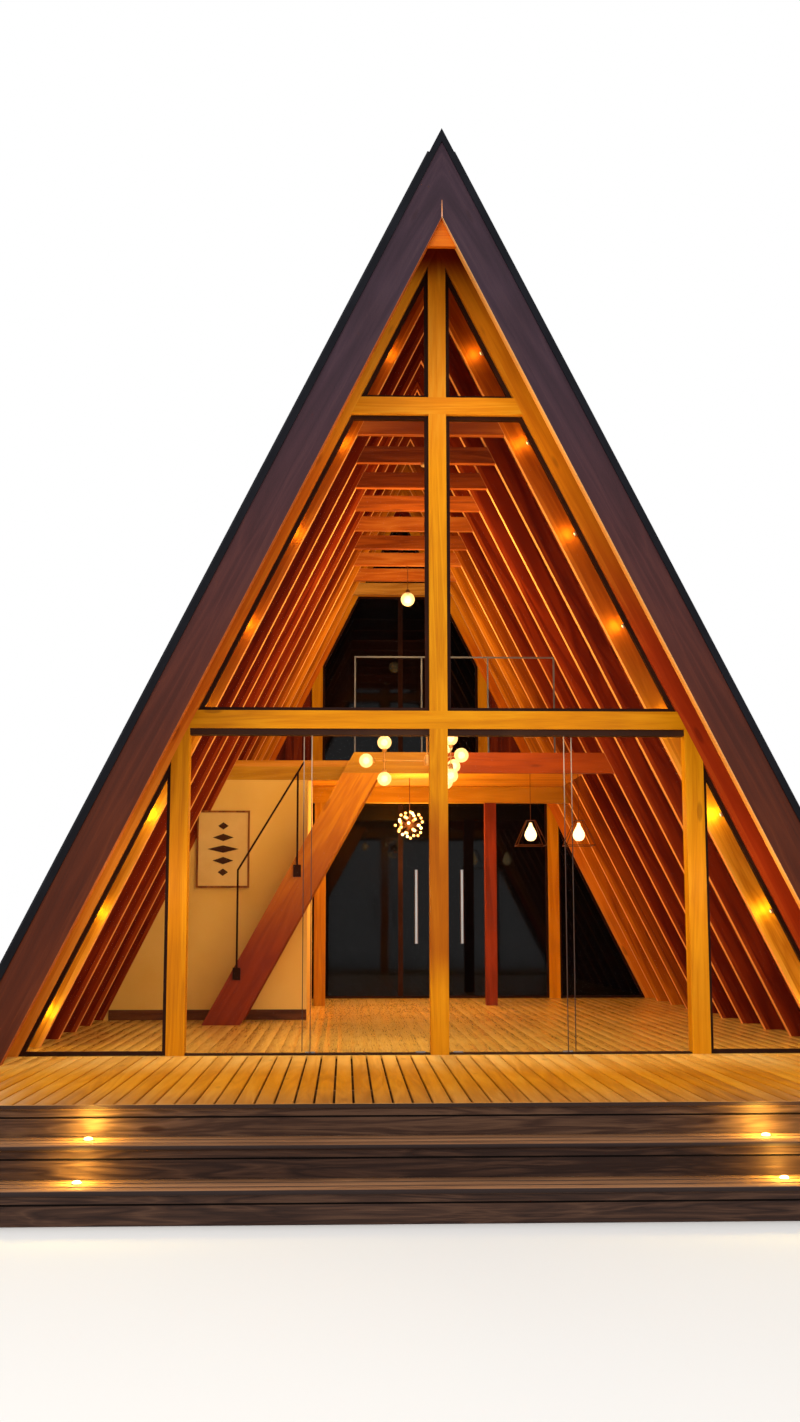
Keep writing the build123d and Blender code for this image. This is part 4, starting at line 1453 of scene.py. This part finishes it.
@dataclass
class Interior:
    """Loft, stair, partition and the panel that hangs on it."""

    skirting_height: float = 0.095
    skirting_depth: float = 0.012
    skirting_ease: float = 0.003
    rail_width: float = 0.018
    rail_ease: float = 0.002
    mount_back: float = 0.008
    leaf_halves: tuple[float, ...] = (0.05, 0.1, 0.15, 0.1, 0.05)
    leaf_height: float = 0.035
    leaf_proud: float = 0.003
    leaf_first: float = 0.2
    leaf_pitch: float = 0.15

    def build(self) -> None:
        """Dresses what shows through the glass."""
        # Painted lamp light on the left and rear of the loft beams and on the left loft posts; painted shade
        # low on the stringers.
        dress(Timber("loft beam timber", Grain.ALONG_X, Wood.BEAM, 0.4, contrast=0.5,
                     zones=(Zone(Wood.BEAM_LEFT, across_middle(0.35, -0.05)),
                            Zone(Wood.BEAM_REAR, behind_front(3.6, 5.5)))), "loft_beams")
        dress(Timber("loft floor timber", Grain.ALONG_X, Wood.LOFT_FLOOR, 0.45, contrast=0.6, board=0.12),
              "loft_floor")
        dress(Timber("loft post timber", Grain.ALONG_Z, Wood.LOFT_POST, 0.45, contrast=0.7,
                     zones=(Zone(Wood.LOFT_POST_LEFT, across_middle(0.1, -0.1)),)), "loft_posts")
        dress(Timber("stringer timber", Grain.STAIR, Wood.STRINGER, 0.42, contrast=0.6,
                     zones=(Zone(Wood.STRINGER_FOOT, above_floor(2.1, 0.5)),)), "stair_stringers")
        dress(Timber("stair tread timber", Grain.ALONG_Y, Wood.STAIR_TREAD, 0.45), "stair_treads")
        dress(Mineral("plaster", (240, 196, 106), (224, 168, 68), 0.8, 0.7, 120.0, 0.0006),
              "partition_wall", "partition_side_wall")
        self.skirting()
        self.picture()

    def skirting(self) -> None:
        """A dark board along the foot of the partition."""
        low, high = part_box("partition_wall")
        top = SITE.floor + self.skirting_height
        board = Shell()
        board.box((-SITE.slope_x(top, SITE.rafter_under), low.y - self.skirting_depth, SITE.floor),
                  (high.x, low.y, top), chamfer=self.skirting_ease)
        wood = Timber("skirting timber", Grain.ALONG_X, Wood.SKIRTING).build()
        ride(board.build("partition_skirting", wood), "loft_timber")

    def picture(self) -> None:
        """A slim dark frame round a pale mount and a row of plain lozenges."""
        low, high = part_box("picture_panel")
        rail = Timber("picture rail timber", Grain.ALONG_Z, Wood.PICTURE_RAIL, 0.4).build()
        mount = Mineral("picture mount", (236, 196, 120), (220, 174, 96), 0.8, 3.0, 300.0, 0.0002).build()
        cloth = Mineral("picture field", (58, 30, 16), (80, 44, 24), 0.9, 5.0, 420.0, 0.0006).build()
        left, right = low.x + self.rail_width, high.x - self.rail_width
        under, over = low.z + self.rail_width, high.z - self.rail_width
        panel = Shell()
        for x_low, x_high, z_low, z_high in ((low.x, left, low.z, high.z), (right, high.x, low.z, high.z),
                                             (left, right, low.z, under), (left, right, over, high.z)):
            panel.box((x_low, low.y, z_low), (x_high, high.y, z_high), chamfer=self.rail_ease)
        face = low.y + self.mount_back
        panel.box((left, face, under), (right, high.y, over), 1)
        centre = (low.x + high.x) / 2
        for row, half in enumerate(self.leaf_halves):
            z = low.z + (high.z - low.z) * (self.leaf_first + self.leaf_pitch * row)
            leaf = [Vector((centre - half, face, z)), Vector((centre, face, z - self.leaf_height)),
                    Vector((centre + half, face, z)), Vector((centre, face, z + self.leaf_height))]
            panel.prism(leaf, Vector((0, -self.leaf_proud, 0)), 2)
        ride(panel.build("picture", rail, mount, cloth), "picture", "picture_panel")


@dataclass
class Lamps:
    """Hanging lamps and the small lamps of steps and slopes, lit."""

    loft_under: float = 2.40
    canopy_height: float = 0.02
    chandelier_back: float = 1.5
    chandelier_height: float = 2.23
    chandelier_globe: float = 0.0575
    arm_count: int = 3
    arm_reach: float = 0.35
    globe_reach: float = 0.15
    cage_places: tuple[float, ...] = (1.17, 1.65)
    cage_back: float = 4.125
    cage_foot: float = 1.66
    cage_height: float = 0.25
    cage_half: float = 0.1435
    cage_top: float = 0.04
    cage_wire: float = 0.004
    cluster_back: float = 4.875
    cluster_height: float = 1.91
    cluster_bulbs: int = 34
    cluster_reach: float = 0.125
    cluster_step: float = 0.012
    globe_back: float = 5.25
    globe_height: float = 4.38
    step_lamp_height: float = 0.016

    def build(self) -> None:
        """Builds every lamp."""
        self.bulb = Glow("bulb glass", (255, 218, 146), 2.6).build()
        self.halo = Glow("globe glass", (255, 214, 128), 1.15, 0.55).build()
        self.steel = Metal("lamp steel", (190, 176, 150), (214, 200, 170), 0.35, 1.0).build()
        self.chandelier()
        self.pendants()
        self.step_lamps()
        self.slope_spots()

    def hang(self, lamp: Shell, foot: Vector, ceiling: float, radius: float, canopy: float = 0.0,
             sides: int = 20) -> None:
        """Adds a rod from a lamp to its ceiling, with a round canopy there if it has one.

        Args:
            lamp: where the faces go.
            foot: lower end of the rod.
            ceiling: height of its upper end.
            radius: radius of the rod.
            canopy: radius of the canopy.
            sides: faces round the canopy.
        """
        top = Vector((foot.x, foot.y, ceiling))
        lamp.tube(foot, top, radius)
        if canopy > 0:
            lamp.tube(top - Z_AXIS * self.canopy_height, top, canopy, sides)

    def chandelier(self) -> None:
        """Three level arms on a stem, each with a cross of globes."""
        brass = Metal("brass", (226, 164, 84), (244, 206, 140), 0.34, 0.6, (80.0, 80.0, 80.0)).build()
        hub = SITE.point(0.0, self.chandelier_back, self.chandelier_height)
        lamp = Shell()
        self.hang(lamp, hub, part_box("chandelier")[1].z, 0.006, 0.045, 24)
        lamp.lathe([(0.0, -0.045), (0.02, -0.035), (0.03, 0.0), (0.022, 0.03), (0.008, 0.05), (0.0, 0.05)],
                   hub, Z_AXIS, 20)
        for index in range(self.arm_count):
            turn = math.pi + 2 * math.pi * index / self.arm_count
            out = Vector((math.cos(turn), math.sin(turn), 0))
            end = hub + out * self.arm_reach
            lamp.tube(hub, end, 0.005)
            lamp.ball(end, 0.012, 8, 12)
            for way in (out, Z_AXIS, -Z_AXIS):
                globe = end + way * self.globe_reach
                lamp.tube(end, globe - way * 0.05, 0.004)
                lamp.lathe([(0.016, -0.075), (0.02, -0.06), (0.02, -0.045), (0.0, -0.045)], globe, way, 16)
                lamp.ball(globe, self.chandelier_globe, 12, 20, 2)
                lamp.ball(globe, self.chandelier_globe / 2, 8, 14, 1)
        ride(lamp.build("chandelier_lit", brass, self.bulb, self.halo), "brass", "chandelier")

    def pendants(self) -> None:
        """Two caged bulbs, the ball of small bulbs and the single globe near the ridge."""
        wire = Metal("lamp wire", (92, 52, 24), (150, 92, 44), 0.4, 0.7).build()
        amber = Glow("amber bulb", (255, 178, 84), 0.75).build()
        ceiling = SITE.floor + self.loft_under
        lamp = Shell()
        for x in self.cage_places:
            self.cage(lamp, SITE.point(x, self.cage_back, self.cage_foot), ceiling)
        self.cluster(lamp, SITE.point(0.0, self.cluster_back, self.cluster_height), ceiling)
        globe = SITE.point(0.0, self.globe_back, self.globe_height)
        self.hang(lamp, globe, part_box("pendant_lamps")[1].z, 0.004)
        lamp.lathe([(0.02, 0.06), (0.024, 0.09), (0.012, 0.11), (0.0, 0.11)], globe, Z_AXIS, 16)
        lamp.ball(globe, 0.075, 14, 24, 3)
        lamp.ball(globe, 0.042, 10, 18, 1)
        ride(lamp.build("pendants_lit", wire, self.bulb, amber, self.halo), "pendant_wire", "pendant_lamps")

    def cluster(self, lamp: Shell, centre: Vector, ceiling: float) -> None:
        """The ball of small bulbs, spread evenly round its core.

        Args:
            lamp: where the faces go.
            centre: its middle.
            ceiling: height that it hangs from.
        """
        self.hang(lamp, centre, ceiling, 0.004)
        lamp.ball(centre, 0.045)
        for index in range(self.cluster_bulbs):
            rise = 1 - 2 * (index + 0.5) / self.cluster_bulbs
            turn = index * math.pi * (3 - math.sqrt(5))
            ring = math.sqrt(1 - rise * rise)
            out = Vector((ring * math.cos(turn), ring * math.sin(turn), rise))
            lamp.tube(centre, centre + out * 0.12, 0.003, 6)
            reach = self.cluster_reach + self.cluster_step * (index % 3)
            lamp.ball(centre + out * reach, 0.015, 6, 10, 2 if index % 3 else 1)

    def cage(self, lamp: Shell, base: Vector, ceiling: float) -> None:
        """One bulb in a wire cage.

        Args:
            lamp: where the faces go.
            base: middle of the cage's open foot.
            ceiling: height that it hangs from.
        """
        peak = base + Z_AXIS * self.cage_height
        self.hang(lamp, peak - Z_AXIS * 0.03, ceiling, 0.003, 0.04)
        cap = Vector((self.cage_top, self.cage_top, 0.003))
        lamp.box(peak - cap, peak + cap)
        corners = [base + Vector((across * self.cage_half, along * self.cage_half, 0))
                   for across, along in ((-1, -1), (1, -1), (1, 1), (-1, 1))]
        for index, corner in enumerate(corners):
            lamp.tube(corners[index - 1], corner, self.cage_wire, 10)
            lean = (corner - base) * (self.cage_top / self.cage_half)
            lamp.tube(corner, peak + lean, self.cage_wire, 10)
        profile = [(0.0, 0.045), (0.03, 0.05), (0.05, 0.07), (0.06, 0.1), (0.055, 0.13), (0.035, 0.17),
                   (0.018, 0.2), (0.014, 0.225), (0.0, 0.225)]
        lamp.lathe(profile, base, Z_AXIS, 24, 1)

    def step_lamps(self) -> None:
        """Lamps let into the treads: a steel rim round a domed lens."""
        low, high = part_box("step_lamps")
        lamps = Shell()
        radius, height = STEP_LAMP_RADIUS, self.step_lamp_height
        for y, z in ((low.y + radius, low.z), (high.y - radius, high.z - height)):
            for x in (low.x + radius, high.x - radius):
                foot = Vector((x, y, z))
                lamps.lathe([(0.0, 0.0), (radius, 0.0), (radius, 0.003), (0.023, 0.005), (0.0, 0.005)],
                            foot, Z_AXIS, 28)
                lamps.lathe([(0.0, 0.005), (0.022, 0.005), (0.022, 0.009), (0.017, 0.0135),
                             (0.009, 0.0157), (0.0, height)], foot, Z_AXIS, 24, 1)
        lens = Glow("step lens", (255, 214, 130), 12.0).build()
        ride(lamps.build("step_lamps_lit", self.steel, lens), "lamp_metal", "step_lamps")

    def slope_spots(self) -> None:
        """Spots along the front slopes: a short barrel with a lit front."""
        y = middle("slope_spots").y
        spots = Shell()
        for _, side in SIDES:
            for z in SITE.spot_heights():
                root = Vector((side * SITE.slope_x(z, SITE.panel_under), y, z))
                spots.lathe([(0.0, 0.0), (0.02, 0.0), (0.02, 0.028), (0.017, 0.03), (0.0, 0.03)],
                            root, -SITE.out(side))
                spots.lathe([(0.0, 0.0302), (0.012, 0.0302), (0.0, 0.034)], root, -SITE.out(side), 16, 1)
        ride(spots.build("slope_spots_lit", self.steel, self.bulb), "lamp_metal", "slope_spots")


class RearDeck:
    """Railing of the rear deck."""

    def build(self) -> None:
        """Dresses the railing."""
        dress(Timber("railing timber", Grain.ALONG_Z, Wood.RAILING, 0.55), "rear_railing")


@dataclass
class Studio:
    """Pale floor, soft light, the lit lamps' own light and the camera.

    ROOM_LIGHTS and SIDE_LIGHTS hold the sideways place, the distance behind the front posts, the
    height over the floor and the watts of each lamp. A side light stands on both sides.
    """

    camera_back: float = 10.856
    camera_x: float = -0.669
    camera_z: float = 0.95
    yaw: float = 0.0362
    pitch: float = 0.136
    roll: float = -0.001
    focal_pixels: float = 1512.6
    long_side: int = 1422
    sensor: float = 36.0
    view_reach: float = 300.0
    ground_reach: float = 90.0
    ground_drop: float = 0.002
    fade_start: float = 14.0
    fade_end: float = 45.0
    fade_level: float = 0.45
    soft_level: float = 0.72
    spot_depth: float = 0.19

    ROOM_LIGHTS = ((0.0, 1.6, 2.9, 85.0), (0.0, 2.4, 4.0, 90.0), (0.0, 5.0, 3.9, 90.0), (0.0, 4.6, 1.9, 72.0),
                   (0.0, 6.3, 1.9, 90.0), (-0.2, 0.8, 1.1, 44.0))
    SIDE_LIGHTS = ((2.35, 0.25, 0.5, 5.0), (1.75, 0.25, 1.7, 5.0), (1.2, 0.25, 2.9, 1.5),
                   (0.6, 0.25, 4.0, 1.0), (2.0, -0.5, 1.2, 4.8), (0.8, -0.5, 1.9, 5.0),
                   (0.45, -0.5, 4.2, 3.2))
    WARM = (255, 225, 156)
    STEP_GLOW = (255, 222, 96)
    SPOT_GLOW = (255, 226, 84)

    def build(self) -> None:
        """Builds the studio."""
        self.ground()
        self.world()
        self.lights()
        self.camera()

    def ground(self) -> None:
        """A wide pale floor that fades to the white of the world far from the cabin."""
        reach, z = self.ground_reach, -self.ground_drop
        shell = Shell()
        shell.hull([Vector((-reach, -reach, z)), Vector((reach, -reach, z)), Vector((reach, reach, z)),
                    Vector((-reach, reach, z))], [[0, 1, 2, 3]])
        shader = Shader("studio floor")
        place = shader.join(*shader.place())
        colour = shader.blend(shader.span(shader.noise(place, 0.4, 2.0), 0.3, 0.7, 0.0, 0.3),
                              linear((236, 236, 236)), linear((232, 232, 232)))
        away = shader.add("ShaderNodeVectorMath", {0: place}, operation="LENGTH").outputs["Value"]
        fade = shader.span(away, self.fade_start, self.fade_end, 0.0, self.fade_level, smooth=True)
        shader.feed(shader.surface.inputs["Emission Color"], colour)
        shader.feed(shader.surface.inputs["Emission Strength"], shader.times(shader.seen(), fade))
        floor = shell.build("studio_floor", shader.finish(colour, 0.9))

    def world(self) -> None:
        """White round the object, with softer light for its surfaces."""
        world = bpy.data.worlds.new("studio")
        bpy.context.scene.world = world
        world.use_nodes = True
        tree = NodeTree(world.node_tree)
        back = tree.tree.nodes["Background"].inputs
        back["Color"].default_value = (1.0, 1.0, 1.0, 1.0)
        level = tree.add("ShaderNodeMapRange", {0: tree.seen(), 3: self.soft_level, 4: 1.0})
        tree.feed(back["Strength"], level.outputs[0])

    def lamp(self, name: str, kind: str, place: Vector, power: float,
             colour: Colour) -> bpy.types.Object:
        """Adds a lamp that no view and no reflection shows.

        Args:
            name: name of the lamp.
            kind: Blender's type of the lamp.
            place: where it hangs.
            power: watts.
            colour: its colour.

        Returns:
            The lamp.
        """
        data = bpy.data.lights.new(name, kind)
        data.energy = power
        data.color = linear(colour)[:3]
        lamp = placed(name, data)
        lamp.location = place
        lamp.visible_camera = False
        lamp.visible_glossy = False
        return lamp

    def area(self, place: Vector, aim: Vector, size: float, power: float, colour: Colour) -> None:
        """Adds a square lamp.

        Args:
            place: where it stands.
            aim: what it points at.
            size: its side.
            power: watts.
            colour: its colour.
        """
        lamp = self.lamp("studio area", "AREA", place, power, colour)
        lamp.data.size = size
        lamp.rotation_euler = (aim - place).to_track_quat("-Z", "Y").to_euler()

    def point(self, place: Vector, power: float, colour: Colour, size: float) -> None:
        """Adds a small round lamp."""
        self.lamp("lamp light", "POINT", place, power, colour).data.shadow_soft_size = size

    def lights(self) -> None:
        """Soft key and fill outside, warm light inside and under the overhang."""
        front = SITE.front_y
        self.area(Vector((-6.0, front - 12.0, 9.0)), Vector((0.0, front, 3.0)), 7.0, 700.0, (255, 250, 244))
        self.area(Vector((1.0, front - 14.0, 5.0)), Vector((0.0, front, 2.4)), 6.0, 330.0, (255, 246, 232))
        for x, back, up, power in self.ROOM_LIGHTS:
            self.point(SITE.point(x, back, up), power, self.WARM, 0.25)
        for x, back, up, power in self.SIDE_LIGHTS:
            for _, side in SIDES:
                self.point(SITE.point(side * x, back, up), power, self.WARM, 0.15)
        self.spots()

    def spots(self) -> None:
        """The light of the step lamps and of the spots along the front slopes."""
        low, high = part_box("step_lamps")
        radius = STEP_LAMP_RADIUS
        for x in (low.x + radius, high.x - radius):
            for y, z in ((low.y + radius, low.z), (high.y - radius, high.z)):
                self.point(Vector((x, y + 0.035, z + 0.04)), 3.5, self.STEP_GLOW, 0.015)
                self.point(Vector((x, y + 0.01, z + 0.11)), 7.5, self.STEP_GLOW, 0.03)
        y = middle("slope_spots").y - 0.01
        for _, side in SIDES:
            for z in SITE.spot_heights():
                place = Vector((side * SITE.slope_x(z, self.spot_depth), y, z))
                self.point(place, 1.0, self.SPOT_GLOW, 0.02)

    def camera(self) -> None:
        """Stands the camera where the photograph was taken from."""
        data = bpy.data.cameras.new("camera")
        data.sensor_width = self.sensor
        data.lens = self.focal_pixels * self.sensor / self.long_side
        data.clip_end = self.view_reach
        camera = placed("camera", data)
        camera.location = SITE.point(self.camera_x, -self.camera_back, self.camera_z)
        aim = Vector((math.sin(self.yaw) * math.cos(self.pitch), math.cos(self.yaw) * math.cos(self.pitch),
                      math.sin(self.pitch)))
        turn = aim.to_track_quat("-Z", "Y").to_matrix().to_4x4() @ Matrix.Rotation(self.roll, 4, "Z")
        camera.rotation_euler = turn.to_euler()
        bpy.context.scene.camera = camera


def main() -> None:
    """Builds every sub-assembly in order."""
    logging.basicConfig(level=logging.INFO, format="%(message)s")
    bpy.context.scene.view_settings.view_transform = "Standard"
    for part in (Platform(), Roof(), Facades(), Interior(), Lamps(), RearDeck(), Studio()):
        part.build()
        LOG.info("%s done", type(part).__name__)


if __name__ == "__main__":
    main()
